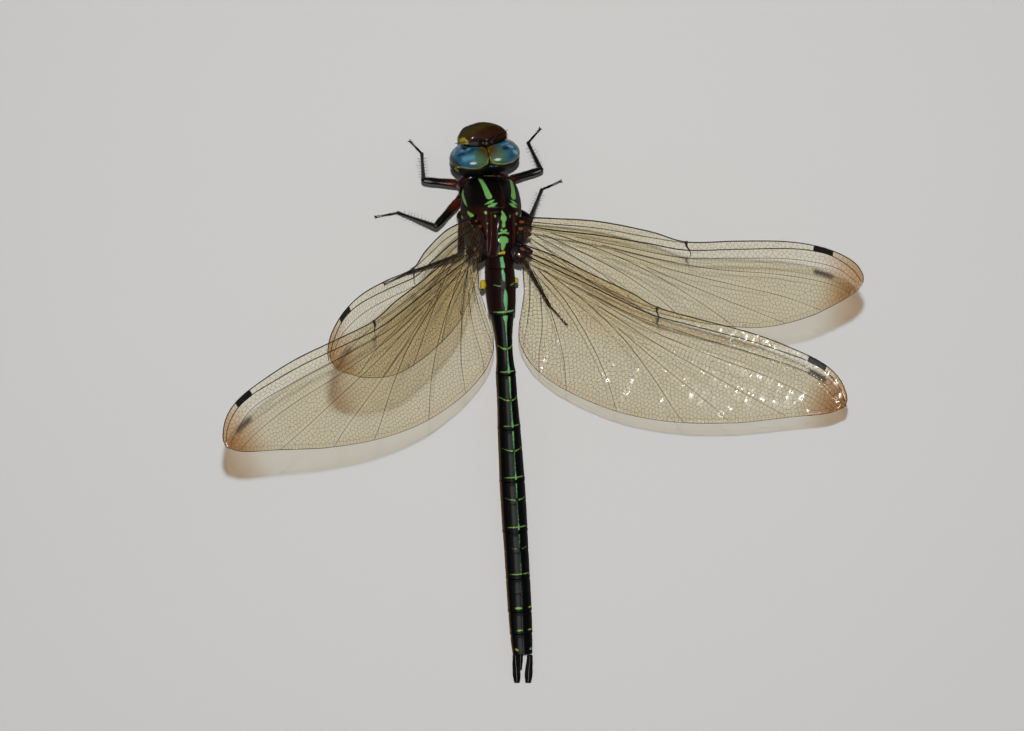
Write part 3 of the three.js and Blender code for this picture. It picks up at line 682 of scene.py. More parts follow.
def rod(name, points, radii, sides, rings):
    """A closed round rod through points in mm, with a radius at each, and rounded ends."""
    parts = np.linspace(0, 1, 200)
    path = along_curve(points, parts)
    thick = along_curve(rows(radii), parts)[:, 0]
    reach = reaches(path)
    reach /= reach[-1]

    def shape(part, angle):
        inside, closing, shrink = rounded(part, 2.0 / rings)
        places = (np.clip(inside + step, 0, 1) for step in (-0.01, 0, 0.01))
        before, centre, after = (at_reach(place, reach, path) for place in places)
        along = unit(after - before)
        side = unit(np.cross(along, (0.02, 0.03, 1.0)))
        over = np.cross(side, along)
        radius = np.interp(inside, reach, thick)
        tip = radius * 0.6 * (1 - closing) * np.sign(part - 0.5)
        ring = side * np.cos(angle)[:, None] + over * np.sin(angle)[:, None]
        placed = centre + along * tip[:, None] + ring * (radius * shrink)[:, None]
        return placed, placed

    return formed(name, sides, rings, shape)[0]


capsule, place = formed("head_capsule", 120, 70, capsule_shape)
olive = np.minimum(to_strokes(np.abs(place), [CAPSULE_LINE]), to_strokes(place, [CAPSULE_HOOK]))
note(capsule, "olive", olive)
capsule_marks = (("olive", "665c1c", "7d7224"),)
capsule_cuticle = cuticle("black_head_cuticle", "070606", "2a120a", capsule_marks, 0.5, 6.0, 0.25)
finish(capsule, capsule_cuticle, "dark_cuticle", "head")

face, place = formed("face_plates", 120, 90, face_shape)
streaks = to_strokes(rows(np.abs(place[:, 0]), *place[:, 1:].T), [CHEEK_STREAK])
note(face, "yellow", np.minimum(to_strokes(place, CHEEKS), streaks) / 2.5)
note(face, "olive", to_strokes(place, BROW_BAND) / 8)
ahead = smooth_step(1.9, 2.7, place[:, 1])
note(face, "red", ahead * (0.2 + 0.75 * smooth_step(-0.2, 0.8, place[:, 2])))
face_marks = (("olive", "30280a", "40360e"), ("yellow", "7d6c18", "978424"))
face_cuticle = cuticle("polished_brown_face_cuticle", "0c0603", "2b1306", face_marks, 0.5, 4.0, 0.09)
finish(face, face_cuticle, "face_cuticle", "face")

# the bump on the brow with the feelers' sockets, and its three glassy simple eyes
brow_knob = rod("brow_knob", BROW_KNOB, BROW_KNOB_RADII, 24, 24)
onto_head(brow_knob)
note(brow_knob, "olive", 1)
beads = []
for place in CORNEAS:
    bead = ball(20, 12, CORNEA_RADIUS)
    put(bead, head_place(read(bead) * (1, 0.85, 0.8) + place))
    bpy.ops.object.shade_smooth()
    beads.append(bead)
finish(brow_knob, capsule_cuticle, "dark_cuticle")

# Simple eye: clear amber cornea over dark pigment.
cornea = even_material("amber_simple_eye", "4a2c10", {"Roughness": 0.05, "Coat Weight": 1.0})
finish(joined("simple_eyes", beads), cornea, "compound_eye")

# Compound eye: thousands of clear domed facets over pigment that is blue at the outer side, green toward the
# middle and brown at the front of the seam. It is black behind its rim, and its steep outer rear is painted
# black as shade.
EYE_COLOURS = {
    "green": ("28504a", "4a6434"),
    # pale: partly the eye's own colour and partly painted highlight
    "pale": ("4c8ea8", "6aa4ac"),
    "brown": ("301c06", "54430f"),
    "dark": ("050f1c", "0a2036"),
    # black: the real black behind the rim, and painted shade on the steep outer rear of the eye
    "black_and_painted_shade": ("060606", "0d0c0a"),
    "lower": ("1c1a10", "302f1c"),
    "rim": ("7d7416", "a89c24"),
}
eye_skin, tree = new_material("faceted_eye")
place = noted(tree, "place", "Vector")
cloud = add(tree, "TexNoise", {"Vector": place, "Scale": 0.9, "Detail": 5.0, "Roughness": 0.6})
colour = blend(tree, cloud, "133850", "235c7a")
for field, tones in EYE_COLOURS.items():
    colour = blend(tree, noted(tree, field), colour, blend(tree, cloud, *tones))
facets = add(tree, "TexVoronoi", {"Vector": place, "Scale": 20.0, "Randomness": 0.15})
domes = {"Height": reckoned(tree, "POWER", facets, 2.0), "Distance": 0.0000025, "invert": True}
bump = add(tree, "Bump", {"Strength": 1.0, **domes})
surface = {"Base Color": colour, "Roughness": 0.6, "Specular IOR Level": 0.1}
gloss = {"Coat Normal": bump, "Coat Weight": 0.7, "Coat Roughness": 0.02, "Coat IOR": 1.5}
add(tree, "OutputMaterial", {0: add(tree, "BsdfPrincipled", {**surface, **gloss})})


def on_eye(strokes):
    """Strokes given by across, along and radius, laid on the top of the eye."""
    middle, radii = np.array(EYE_CENTRE), np.array(EYE_RADII)

    def laid(x, y, radius):
        flat = ((((x, y) - middle[:2]) / radii[:2]) ** 2).sum()
        return (x, y, middle[2] + radii[2] * math.sqrt(max(1 - flat, 0)), radius)

    return [[laid(*point) for point in stroke] for stroke in strokes]


# the pale rim of each eye, as across from the middle, along and radius
EYE_RIMS = {
    "left": (
        ((4.95, -1.44, 0.32), (4.75, -1.3, 0.16), (4.75, -1.0, 0.08), (4.3, -0.88, 0.07), (3.5, -1.05, 0.07),
         (2.6, -1.25, 0.08), (1.3, -1.12, 0.07), (0.4, -0.6, 0.06), (0.14, 0.0, 0.05), (0.14, 0.9, 0.03),
         (0.7, 1.45, 0.04), (1.6, 1.65, 0.03)),
    ),
    "right": (
        ((0.14, -0.2, 0.05), (0.6, -0.75, 0.06), (1.2, -1.02, 0.08), (2.4, -1.25, 0.09), (3.5, -1.15, 0.07),
         (4.5, -0.8, 0.07), (4.95, -0.5, 0.04)),
        ((3.4, -1.4, 0.05), (4.4, -1.2, 0.07), (5.0, -0.8, 0.05)),
        ((0.14, 0.0, 0.05), (0.14, 0.9, 0.03), (0.8, 1.5, 0.04), (1.6, 1.65, 0.03)),
    ),
}
# darker and paler patches of each eye: how soft and strong, then across, along and radius.
# The paler ones are partly the eye's own colour and partly painted highlight.
EYE_PATCHES = {
    "left": {
        "dark": (
            (0.35, 1.0, (3.3, 1.5, 0.2), (3.5, 1.55, 0.2)), (0.22, 1.0, (4.5, 0.75, 0.12), (3.7, 1.0, 0.1)),
            (0.35, 0.75, (3.0, 1.2, 0.05), (2.2, 1.42, 0.14)), (0.4, 0.3, (2.1, 1.45, 0.1), (1.3, 1.3, 0.1)),
        ),
        "pale": (
            (0.35, 0.75, (3.9, 1.3, 0.05), (2.8, 1.5, 0.1)), (0.5, 0.5, (3.8, 0.4, 0.2), (2.6, 0.6, 0.2)),
            (0.35, 0.6, (4.5, 1.2, 0.1), (4.9, 0.8, 0.1)),
        ),
    },
    "right": {
        "dark": (
            (0.4, 1.0, (2.6, 1.1, 0.22), (3.0, 1.08, 0.22)), (0.3, 0.9, (4.0, 1.3, 0.12), (4.3, 1.15, 0.14)),
            (0.3, 0.8, (4.3, 0.65, 0.1), (4.6, 0.45, 0.12)), (0.4, 0.4, (3.4, -0.2, 0.1), (4.2, -0.5, 0.2)),
        ),
        "pale": (
            (0.35, 0.8, (3.3, 1.2, 0.08), (3.9, 0.95, 0.1)), (0.4, 0.9, (4.1, 0.3, 0.1), (4.5, 0.0, 0.15)),
            (0.35, 0.5, (2.4, 1.5, 0.05), (3.2, 1.5, 0.1)),
        ),
    },
}
# how an eye is cut off flat, at the seam where the two meet and at its rear
CUT = {"use_fill": True, "clear_outer": True, "threshold": 1e-6}
for side_name, side in SIDES:
    eye = ball(160, 120)
    eye.name = f"faceted_eye_{side_name}"
    edited(
        eye,
        (bpy.ops.transform.resize, {"value": EYE_RADII}),
        (bpy.ops.transform.translate, {"value": (side * EYE_CENTRE[0], *EYE_CENTRE[1:])}),
        (bpy.ops.mesh.bisect, {"plane_co": (side * EYE_SEAM, 0, 0), "plane_no": (-side, 0, 0), **CUT}),
        (bpy.ops.mesh.bisect, {"plane_co": (0, EYE_REAR, 0), "plane_no": (0, -1, 0), **CUT}),
        (bpy.ops.mesh.normals_make_consistent, {"inside": False}),
    )
    bpy.ops.object.shade_smooth_by_angle(angle=math.radians(40))
    place = read(eye)
    a, y, z = np.abs(place[:, 0]), place[:, 1], place[:, 2]
    spot = rows(a, y, z)
    behind = smooth_step(0.0, -0.12, y + 1.3 - 0.5 * ((a - 2.4) / 2.2) ** 2)
    # painted shade: the steep outer rear of the eye is coloured black
    outer = smooth_step(-0.12, 0.2, a - 4.35 - 0.75 * (y + 0.7)) * smooth_step(0.9, 0.3, y)
    seam = smooth_step(0.45, 0.15, a)
    fields = {
        "green": smooth_step(3.7, 1.5, a) * smooth_step(2.2, 0.4, y),
        "brown": smooth_step(2.1, 0.6, a) * smooth_step(-0.5, 1.1, y) + seam * 0.7,
        "black_and_painted_shade": np.maximum(behind, outer),
        "lower": smooth_step(-0.6, -1.6, z),
        "rim": smooth_step(0.04, -0.03, to_strokes(spot, on_eye(EYE_RIMS[side_name]))),
    }
    for kind, patches in EYE_PATCHES[side_name].items():
        fields[kind] = np.zeros(len(spot))
        for soft, strength, *stroke in patches:
            patch = strength * smooth_step(soft, -0.1, to_strokes(spot, on_eye([stroke])))
            fields[kind] = np.maximum(fields[kind], patch)
    for field, values in fields.items():
        note(eye, field, values)
    note(eye, "place", place)
    put(eye, head_place(place))
    finish(eye, eye_skin, "compound_eye", f"eye_{side_name}")

# mouthparts: a stout jaw at each side under the lip, and the broad three-lobed lower lip,
# from its front: along, half width, top and bottom
LIP_STATIONS = (
    (3.75, 0.0, -3.4, -3.4),
    (3.6, 1.2, -3.15, -3.7),
    (3.0, 2.1, -2.8, -4.05),
    (1.9, 2.6, -2.6, -4.28),
    (0.8, 2.5, -2.6, -4.3),
    (0.0, 2.0, -2.6, -4.1),
    (-0.5, 1.2, -2.7, -3.7),
    (-0.6, 0.0, -3.1, -3.1),
)
JAW_COURSE = ((2.4, 1.3, -2.3), (2.4, 2.3, -2.8), (1.7, 3.1, -3.1), (0.7, 3.4, -3.2))
JAW_RADII = (0.6, 0.65, 0.5, 0.22)


def lip_shape(part, angle):
    y, half, top, bottom = along_curve(LIP_STATIONS, part).T
    across, up = outline(angle, np.maximum(half, 0), (top - bottom) / 2, (bottom - top) / 2, 2.4, 2.6)
    lobes = 0.28 * bell(np.abs(across) - 0.95 - 0.12 * y, 0.12) * smooth_step(0.6, 1.6, y) * (up < 0)
    points = rows(across, y, (top + bottom) / 2 + up + lobes)
    return points, head_place(points)


mouth = [formed("lower_lip", 72, 60, lip_shape)[0]]
note(mouth[0], "red", 0.7)
for _, side in SIDES:
    jaw = rod("jaw", np.array(JAW_COURSE) * (side, 1, 1), JAW_RADII, 28, 32)
    onto_head(jaw)
    note(jaw, "red", 0.35)
    mouth.append(jaw)
mouth = joined("mouthparts", mouth)
note(mouth, "yellow", 1)
note(mouth, "olive", 1)
finish(mouth, face_cuticle, "face_cuticle", "jaws")

# feelers: two short thick joints and a bristle
FEELER_SOCKET, FEELER_BEND = (0.8, 2.45, 2.35), (1.35, 3.0, 2.85)
FEELER_TIPS = {"left": (-4.9, 2.75, 2.3), "right": (3.1, 4.2, 4.1)}
BRISTLE_RADII = (0.11, 0.07, 0.035)
plain_cuticle = cuticle("black_glossy_cuticle", "060505", "4a180c", (), 0.24, 5.0, 0.5)
for side_name, side in SIDES:
    socket, bend = np.array((FEELER_SOCKET, FEELER_BEND)) * (side, 1, 1)
    tip = np.array(FEELER_TIPS[side_name])
    first = socket * 0.6 + bend * 0.4
    joints = [
        rod("joint", [socket, first], (0.3, 0.26), 16, 16),
        rod("joint", [first, bend], (0.24, 0.2), 16, 16),
        rod("joint", [bend, bend * 0.5 + tip * 0.5 + (0, 0.1, 0.2), tip], BRISTLE_RADII, 10, 40),
    ]
    feeler = joined(f"feeler_{side_name}", joints)
    onto_head(feeler)
    finish(feeler, plain_cuticle, "black_cuticle", f"antenna_{side_name}")

# the neck shield, the small first ring of the thorax that the head turns on: along, how far it
# is raised, half width, height over and under
SHIELD_STATIONS = (
    (8.75, -3.2, 0.0, 0.0, 0.0),
    (8.6, -3.2, 0.9, 0.6, -0.7),
    (8.15, -3.1, 1.5, 1.0, -1.1),
    (7.75, -3.0, 1.75, 1.0, -1.3),
    (7.45, -2.9, 2.1, 1.5, -1.4),
    (7.15, -2.7, 2.15, 1.75, -1.4),
    (6.9, -2.6, 1.8, 1.3, -1.4),
    (6.6, -2.6, 0.0, 0.0, 0.0),
)
SHIELD_EDGE = 7.1  # where the pale line across it runs


def shield_shape(part, angle):
    y, rise, half, top, bottom = along_curve(SHIELD_STATIONS, part).T
    across, up = outline(angle, np.maximum(half, 0), top, bottom, 2.1, 2.0)
    points = rows(across, y, rise + up - 0.2 * bell(across, 0.3) * (up > 0.3))
    return points, thorax_place(points)


shield, place = formed("neck_shield", 64, 48, shield_shape)
note(shield, "red", 0.3)
note(shield, "olive", np.where(place[:, 2] > -2.2, np.abs(place[:, 1] - SHIELD_EDGE) - 0.03, 1))
finish(shield, capsule_cuticle, "dark_cuticle", "prothorax")

# ------------------------------------------------------------------------------------------
# Claspers
# The three hooks at the end of the abdomen: two black paddles with a ridge along each and
# a small plate between and below them, jointed to the last ring.

# how far each one's middle is from the body's, then its half width, from its root to its end
PADDLE = ((1.12, 1.08, 0.98, 0.92, 0.86), (0.42, 0.5, 0.58, 0.6, 0.42))
LOWER_PLATE = ((-0.3, -0.36, -0.38), (0.4, 0.38, 0.24))


def make_clasper(name, plan, length, thick, drop, side, lowered):
    """A flat blade that widens from its root, and sinks toward its end."""

    def shape(part, angle):
        inside, _, shrink = rounded(part, 0.06)
        offset, half = along_curve(rows(*plan), inside).T
        across, up = outline(angle, half * shrink, thick, -thick, 1.7, 2.0)
        up = (up + 0.12 * bell(across, 0.1) * np.sign(up)) * shrink
        back = 0.1 + length * inside
        points = ABDOMEN_END + rows(side * offset + across, -back, drop * inside - lowered + up)
        points[:, 2] = np.maximum(points[:, 2], 0)
        return rows(across, back, up), points + SHIFT

    piece = formed(name, 36, 60, shape)[0]
    note(piece, "red", 0.04)
    return piece


for side_name, side in SIDES:
    paddle = make_clasper(f"paddle_{side_name}", PADDLE, 4.4, 0.24, -0.75, side, 0.0)
    finish(paddle, plain_cuticle, "black_cuticle", f"cercus_{side_name}")
plate = make_clasper("lower_plate", LOWER_PLATE, 2.4, 0.22, -0.4, 1, 0.1)
finish(plate, plain_cuticle, "black_cuticle", "epiproct")

# ------------------------------------------------------------------------------------------
# Legs
# Six thin hard-shelled legs, hung close together under the front of the thorax. Each has a
# stout thigh, a shin with two rows of bristles that net its prey, and a jointed foot with claws.

# the hip in the thorax's own frame, then the knee, ankle and claw in the pose's
LEGS = {
    "fore_left": ((-2.0, 5.9, -4.9), (-10.3, 6.5, 5.2), (-10.7, 10.9, 0.75), (-12.5, 12.8, 0.2)),
    "mid_left": ((-2.8, 4.2, -4.9), (-8.4, -0.6, 6.4), (-14.4, 1.7, 0.75), (-17.8, 1.1, 0.2)),
    "hind_left": ((-2.8, 0.8, -5.15), (-4.6, -5.0, 7.0), (-12.9, -7.7, 0.75), (-16.4, -9.3, 0.2)),
    "fore_right": ((2.0, 5.9, -4.9), (7.8, 8.15, 4.6), (5.8, 12.6, 0.75), (7.6, 14.7, 0.2)),
    "mid_right": ((2.5, 4.0, -5.8), (6.1, 0.6, 5.6), (7.9, 5.3, 0.75), (10.8, 6.6, 0.2)),
    "hind_right": ((2.6, 0.8, -5.2), (5.3, -6.1, 5.0), (9.1, -12.7, 0.75), (11.7, -15.6, 0.2)),
}
HIP_RADII = (1.0, 0.85, 0.68)
COXA = ((1.5, 7.2, -1.5), (2.8, 6.7, -1.9), (3.7, 6.0, -3.0))  # the fore legs' long first joint
COXA_RADII = (0.65, 0.9, 0.82, 0.55)
THIGH_RADII = (0.6, 0.68, 0.68, 0.62, 0.57, 0.58, 0.44)
SHIN_RADII = (0.38, 0.33, 0.29, 0.26, 0.25, 0.3)
FOOT_RADII = (0.19, 0.16, 0.16, 0.2)
CLAW_RADII = (0.13, 0.09, 0.03)
FOOT_JOINTS = ((0.0, 0.24), (0.24, 0.52), (0.52, 1.0))  # where each is, as parts of the foot
THIGH_ROWS = (-0.9, -2.2)  # the turns about the limb at which its rows of bristles stand
SHIN_ROWS = (-0.5, -2.6)
THIGH_BRISTLE, SHIN_BRISTLE = 0.35, 1.0


def bristles(name, start, end, radius, count, turns, length):
    """Rows of bristles on a limb: one row for each turn about it, each bristle leaning on."""
    along = unit(end - start)
    side = unit(np.cross(along, (0, 0, 1.0)))
    over = np.cross(side, along)
    bpy.ops.object.select_all(action="DESELECT")
    bpy.ops.mesh.primitive_cone_add(vertices=5, radius1=0.04, radius2=0.008, depth=1, location=(0, 0, 0.5))
    bpy.ops.object.transform_apply(location=True)
    first = bpy.context.object
    cone = read(first)
    copies = []
    for turn in turns:
        away = side * math.cos(turn) + over * math.sin(turn)
        for k in range(count):
            part = 0.12 + 0.82 * (k + rng.uniform(-0.15, 0.15)) / count
            lean = unit(along * 0.62 + away * 0.78 + rng.normal(0, 0.06, 3))
            x = unit(np.cross(lean, (0.3, 0.2, 0.9)))
            size = length * (0.75 + 0.25 * math.sin(math.pi * part)) * rng.uniform(0.9, 1.1)
            root = start + (end - start) * part + away * radius * 0.8
            points = (cone * (1, 1, size)) @ np.stack([x, np.cross(lean, x), lean]) + root
            points[:, 2] = np.maximum(points[:, 2], 0.03)
            copy = first.copy()
            copy.data = first.data.copy()
            bpy.context.scene.collection.objects.link(copy)
            put(copy, points)
            copies.append(copy)
    bpy.data.objects.remove(first)
    return joined(name, copies)


def between(start, end, parts):
    return [start + (end - start) * part for part in parts]


def coloured(piece, red):
    """Notes where a piece's points are, in mm, and how red they are. Gives their places."""
    place = read(piece) / MM
    note(piece, "place", place)
    note(piece, "red", red)
    return place


for name, (hip_at, *joints) in LEGS.items():
    hip = thorax_place(np.array(hip_at))
    knee, ankle, claw = np.array(joints) + SHIFT
    out = unit(knee - hip)
    is_fore = "fore" in name

    # the hip joints and the thigh
    hip_course = [hip - out * 0.4 + (0, 0, 0.8), hip + out * 0.1, hip + out * 1.1]
    thigh = [
        rod("hip", hip_course, HIP_RADII, 28, 32),
        bristles("thigh_bristles", hip, knee, 0.5, 10, THIGH_ROWS, THIGH_BRISTLE),
    ]
    if is_fore:
        coxa = thorax_place(np.array(COXA) * (math.copysign(1, hip_at[0]), 1, 1))
        thigh.append(rod("hip", [*coxa, hip + out * 1.4], COXA_RADII, 28, 40))
    for piece in thigh:
        coloured(piece, 0.4)
    thigh.append(rod("thigh", between(hip, knee, np.linspace(0.05, 1, 7)), THIGH_RADII, 24, 60))
    reach = (read(thigh[-1]) / MM - hip) @ out / np.linalg.norm(knee - hip)
    note(thigh[-1], "red", 0.85 * smooth_step(0.75, 0.3, reach))
    finish(joined(f"thigh_{name}", thigh), plain_cuticle, "black_cuticle", f"femur_{name}")

    # the shin
    shin = [
        rod("shin", between(knee, ankle, np.linspace(0, 1, 6)), SHIN_RADII, 20, 60),
        bristles("shin_bristles", knee, ankle, 0.3, 7 if is_fore else 9, SHIN_ROWS, SHIN_BRISTLE),
    ]
    shin = joined(f"shin_{name}", shin)
    coloured(shin, 0.12)
    finish(shin, plain_cuticle, "black_cuticle", f"tibia_{name}")

    # the foot: three joints and a pair of claws
    sole = ankle * 0.45 + claw * 0.55
    sole[2] = claw[2]
    path = along_curve([ankle, ankle * 0.6 + sole * 0.4, sole, claw], np.linspace(0, 1, 40))
    foot = []
    for start, end in FOOT_JOINTS:
        course = path[(np.linspace(start, end, 4) * 39).astype(int)]
        course[:, 2] = np.maximum(course[:, 2], 0.2)
        foot.append(rod("joint", course, FOOT_RADII, 16, 24))
    on = unit(claw - sole)
    for hand in (-1, 1):
        aside = np.array((-on[1], on[0], 0)) * hand
        hook = [claw, claw + on * 0.18 + aside * 0.15 + (0, 0, 0.1), claw + on * 0.32 + aside * 0.24]
        hook[2][2] = 0.05
        foot.append(rod("claw", hook, CLAW_RADII, 12, 16))
    foot = joined(f"foot_{name}", foot)
    place = coloured(foot, 0.05)
    place[:, 2] = np.maximum(place[:, 2], 0)
    put(foot, place)
    finish(foot, plain_cuticle, "black_cuticle", f"tarsus_{name}")

# ------------------------------------------------------------------------------------------
# Wings
# Four blades of clear, faintly amber membrane, pleated like a fan and stiffened by dark veins:
# thick ones along the blade and a fine net between. A leathery web holds each to the thorax.

# outlines from hinge to tip, as out along the blade and forward across it
FORE_FRONT = (
    (0, 1.0), (5, 1.5), (13, 2.1), (22, 1.8), (28.4, 1.1), (37, 2.4),
    (45, 3.4), (51, 3.3), (55.5, 2.2), (57.6, 0.6), (58, -0.8),
)
FORE_REAR = (
    (0, -2.2), (2.5, -3.3), (6, -4.6), (12, -7.0), (20, -9.3), (30, -10.3), (38, -10.1),
    (44, -9.2), (50, -6.9), (54.5, -4.2), (57.1, -2.2), (58, -0.8),
)
HIND_FRONT = (
    (0, 1.0), (5, 1.3), (12, 1.0), (18, 0.9), (23, 0.5), (30, 1.5),
    (38, 2.8), (45, 3.2), (49.5, 3.0), (52.6, 1.9), (54.6, 0), (55, -1.5),
)
HIND_REAR = (
    (0, -0.9), (2.6, -5.5), (4.6, -11.4), (7, -14.1), (11, -15.9), (17, -16.6), (25, -16.1),
    (33, -14), (41, -10.5), (48, -6.4), (53, -3.5), (55, -1.5),
)
# the long veins, front to rear, each with its radius at its base and at its end
FORE_VEINS = {
    "subcosta": (((0.2, 0.35), (5, 0.6), (13, 1.05), (22, 0.9), (28.4, 0.9)), 0.08, 0.045),
    "radius": (
        ((0, -0.15), (5, -0.25), (13, 0.05), (22, 0), (28.4, -0.1), (37, 1.2), (45, 2.4),
         (49.3, 2.65), (52.6, 2.3), (55.8, 1.0), (57.7, -0.6)), 0.11, 0.045,
    ),
    "sector_1": (
        ((9, -0.8), (18, -1.1), (28, -1.3), (37, -0.1), (46, 1.0), (53, 0.8), (57, -0.9)), 0.05, 0.03,
    ),
    "sector_2": (((14, -1.3), (24, -2.1), (34, -2.2), (44, -1.5), (52, -1.6), (56.6, -2.6)), 0.045, 0.025),
    "sector_3": (((16, -1.9), (26, -3.3), (36, -4.0), (45, -4.5), (52, -5.6)), 0.045, 0.025),
    "sector_4": (((22, -3.5), (32, -5.6), (41, -7.3), (46.5, -8.3)), 0.04, 0.025),
    "median_1": (((4.5, -0.8), (12, -1.8), (20, -3.5), (28, -6.0), (35, -8.7), (38.5, -10.3)), 0.06, 0.028),
    "median_2": (((3.5, -1.1), (10, -2.7), (18, -5.0), (25, -7.9), (29.5, -10.4)), 0.06, 0.028),
    "cubital": (((1.6, -1.5), (7, -3.1), (13, -5.2), (18, -7.5), (20.5, -9.1)), 0.065, 0.028),
    "anal": (((1.2, -2.0), (5, -3.6), (9.5, -5.5)), 0.055, 0.028),
}
HIND_VEINS = {
    "subcosta": (((0.2, 0.15), (5, 0.2), (12, 0.1), (18, -0.05), (23, 0.2)), 0.08, 0.045),
    "radius": (
        ((0, -0.4), (5, -0.5), (12, -0.65), (18, -0.85), (23, -0.8), (30, 0.3), (38, 1.6),
         (45, 2.3), (47, 2.4), (50.2, 2.1), (53, 0.8), (54.7, -0.9)), 0.11, 0.045,
    ),
    "sector_1": (((9, -1.5), (20, -2.0), (30, -1.1), (40, 0.2), (48, 0.8), (53.8, -1.2)), 0.05, 0.03),
    "sector_2": (((12, -2.0), (22, -3.0), (32, -2.9), (42, -2.2), (49, -2.3), (53.6, -2.9)), 0.045, 0.025),
    "sector_3": (((14, -2.8), (25, -4.5), (35, -5.4), (43, -6.1), (48, -6.4)), 0.045, 0.025),
    "sector_4": (((19, -4.9), (28, -7.4), (36, -9.4), (40.5, -10.8)), 0.04, 0.025),
    "median_1": (((4, -1.3), (11, -2.8), (19, -5.4), (26, -8.9), (32, -12.6), (34, -13.6)), 0.065, 0.028),
    "median_2": (((3.2, -1.6), (9, -4.1), (15, -7.9), (20, -12.0), (24, -16.3)), 0.065, 0.028),
    "cubital": (((2.4, -1.9), (6, -4.8), (10, -8.8), (13, -12.4), (15.5, -16.6)), 0.065, 0.028),
    "anal_1": (((5, -4.4), (7.6, -9.0), (9, -13.0), (10.4, -15.8)), 0.045, 0.025),
    "anal_2": (((1.8, -1.9), (3.6, -5.4), (5, -9.0), (6.2, -13.2)), 0.055, 0.028),
}
# a blade's outlines and veins, its span, where its node and stigma are, its hinge, and how far
# back the web at its root reaches and how much further beside the thorax
Blade = namedtuple("Blade", "front rear veins span node stigma hinge web")
FORE = Blade(FORE_FRONT, FORE_REAR, FORE_VEINS, 58, 28.4, (49.3, 52.5), (3.5, -0.3, 3.9), (-3.3, 1.0))
HIND = Blade(HIND_FRONT, HIND_REAR, HIND_VEINS, 55, 23, (47, 50), (3.5, -4.4, 3.6), (-2.6, 1.3))
# each wing's blade and side, and how it is held: swept back, raised, tilted at the hinge and
# how much more at the tip in degrees, and bowed in mm
WINGS = {
    "wing_fore_right": (FORE, 1, (10.5, 30.4, 12, -9, 0)),
    "wing_hind_right": (HIND, 1, (24.5, 10.5, -3.5, 2.5, 3)),
    "wing_hind_left": (HIND, -1, (38, 34, 11.5, -2, 1.4)),
    "wing_fore_left": (FORE, -1, (45.9, 60.7, 13.5, 22.5, 2.1)),
}
WING_ROOT = 0.9  # how far out from its hinge the blade starts
FILM_THICKNESS = 0.04
CELL = 0.6  # the size of most cells of the net
NET_RADIUS = 0.018
LONGEST_WALL = 6
EDGE_PAIR, VEIN_PAIR = 0.3, 0.31  # from the edge, or a vein, to the middles of the cells beside it
VEIN_START = -1.7  # how far into the root the veins run
COSTA_RADII, MARGIN_RADII = (0.11, 0.06), (0.045, 0.028)  # of the front edge and the hind edge
NODE_BRACE = ((-0.05, 0), (0.1, -0.6), (0.75, -1.25), (0.9, -2.1))  # from the node on the front edge
NODE_RADII = (0.3, 0.16, 0.08, 0.045)
PLEAT = 0.28  # how far the long veins stand over and under the middle of the blade
CRIMP_LENGTH = 1.8
CRIMP_START, CRIMP_SLOPE = 0.37, 0.57  # how steep its small waves are, and how that grows outward
ROOT_RIDGES = (0.75, -0.2, -1.3)  # where the thick veins run into the root
ROOT_PLATES = ((0.75, 0.36), (-0.35, 0.4), (-1.5, 0.32))  # where the plates are, and their radii


def wing_place(wing, points, over):
    """Points of a wing, from their place out and forward on the blade and over it."""
    blade, side, hold = wing
    sweep, raised, tilt, twist = np.radians(hold[:4])
    level = math.cos(raised)
    span = np.array((side * level * math.cos(sweep), -level * math.sin(sweep), math.sin(raised)))
    ahead = np.array((side * math.sin(sweep), math.cos(sweep), 0))
    above = np.cross(span, ahead) * side
    out, forward = points.T[:2, :, None]
    part = out / blade.span
    cos, sin = np.cos(tilt + twist * part), np.sin(tilt + twist * part)
    bow = 4 * hold[4] * part * (1 - part) * math.cos(tilt)
    hinge = thorax_place(np.array(blade.hinge) * (side, 1, 1))
    surface = hinge + out * span + forward * (ahead * cos + above * sin) + bow * above
    return surface + np.asarray(over)[:, None] * (above * cos - ahead * sin)


def blade_place(wing, points, over):
    """The same, for the blade itself, which starts a little way out from its hinge."""
    away = WING_ROOT * np.clip(1 - points[:, 0] / wing[0].span, 0, 1)
    return wing_place(wing, points + rows(away, 0 * away), over)


def fade(part):
    """How much of their height the pleats keep, at parts of the blade's length."""
    return (1 - 0.55 * part) * (1 - 0.45 * smooth_step(0.35, 0.6, part))


def pleat(blade, points):
    """How far the blade's pleats stand over its middle: up at one long vein, down at the next."""
    out = np.maximum(points[:, 0], 0.2)
    courses = [blade.front, *(vein[0] for vein in blade.veins.values())]
    curves = [along_curve(course, np.linspace(0, 1, 60)) for course in courses]
    lines = [np.interp(out, *curve.T, left=np.nan, right=np.nan) for curve in curves]
    heights = np.zeros(len(points))
    for i, (forward, *places) in enumerate(zip(points[:, 1], *lines)):
        known = sorted((place, (1, -1)[row % 2]) for row, place in enumerate(places) if not np.isnan(place))
        heights[i] = np.interp(forward, *zip(*known))
    depth = np.clip(points[:, 1] * 0.04 + 1, 0.3, 1)
    return PLEAT * np.sin(heights * math.pi / 2) * fade(out / blade.span) * depth


def crimp(blade, points):
    """The small waves along the film of the outer blade, and the rise of its hind edge."""
    part = points[:, 0] / blade.span
    behind = points[:, 1] - np.interp(points[:, 0], *np.array(blade.rear, float).T)
    steep = np.maximum(np.abs(CRIMP_SLOPE * part - CRIMP_START), 0.06)
    waves = steep * CRIMP_LENGTH / (2 * math.pi) * np.sin(points[:, 0] * 2 * math.pi / CRIMP_LENGTH)
    rise = 0.015 * np.maximum(4 - behind, 0) ** 2
    return (waves * smooth_step(2, 4, behind) + rise) * smooth_step(0.3, 0.5, part)


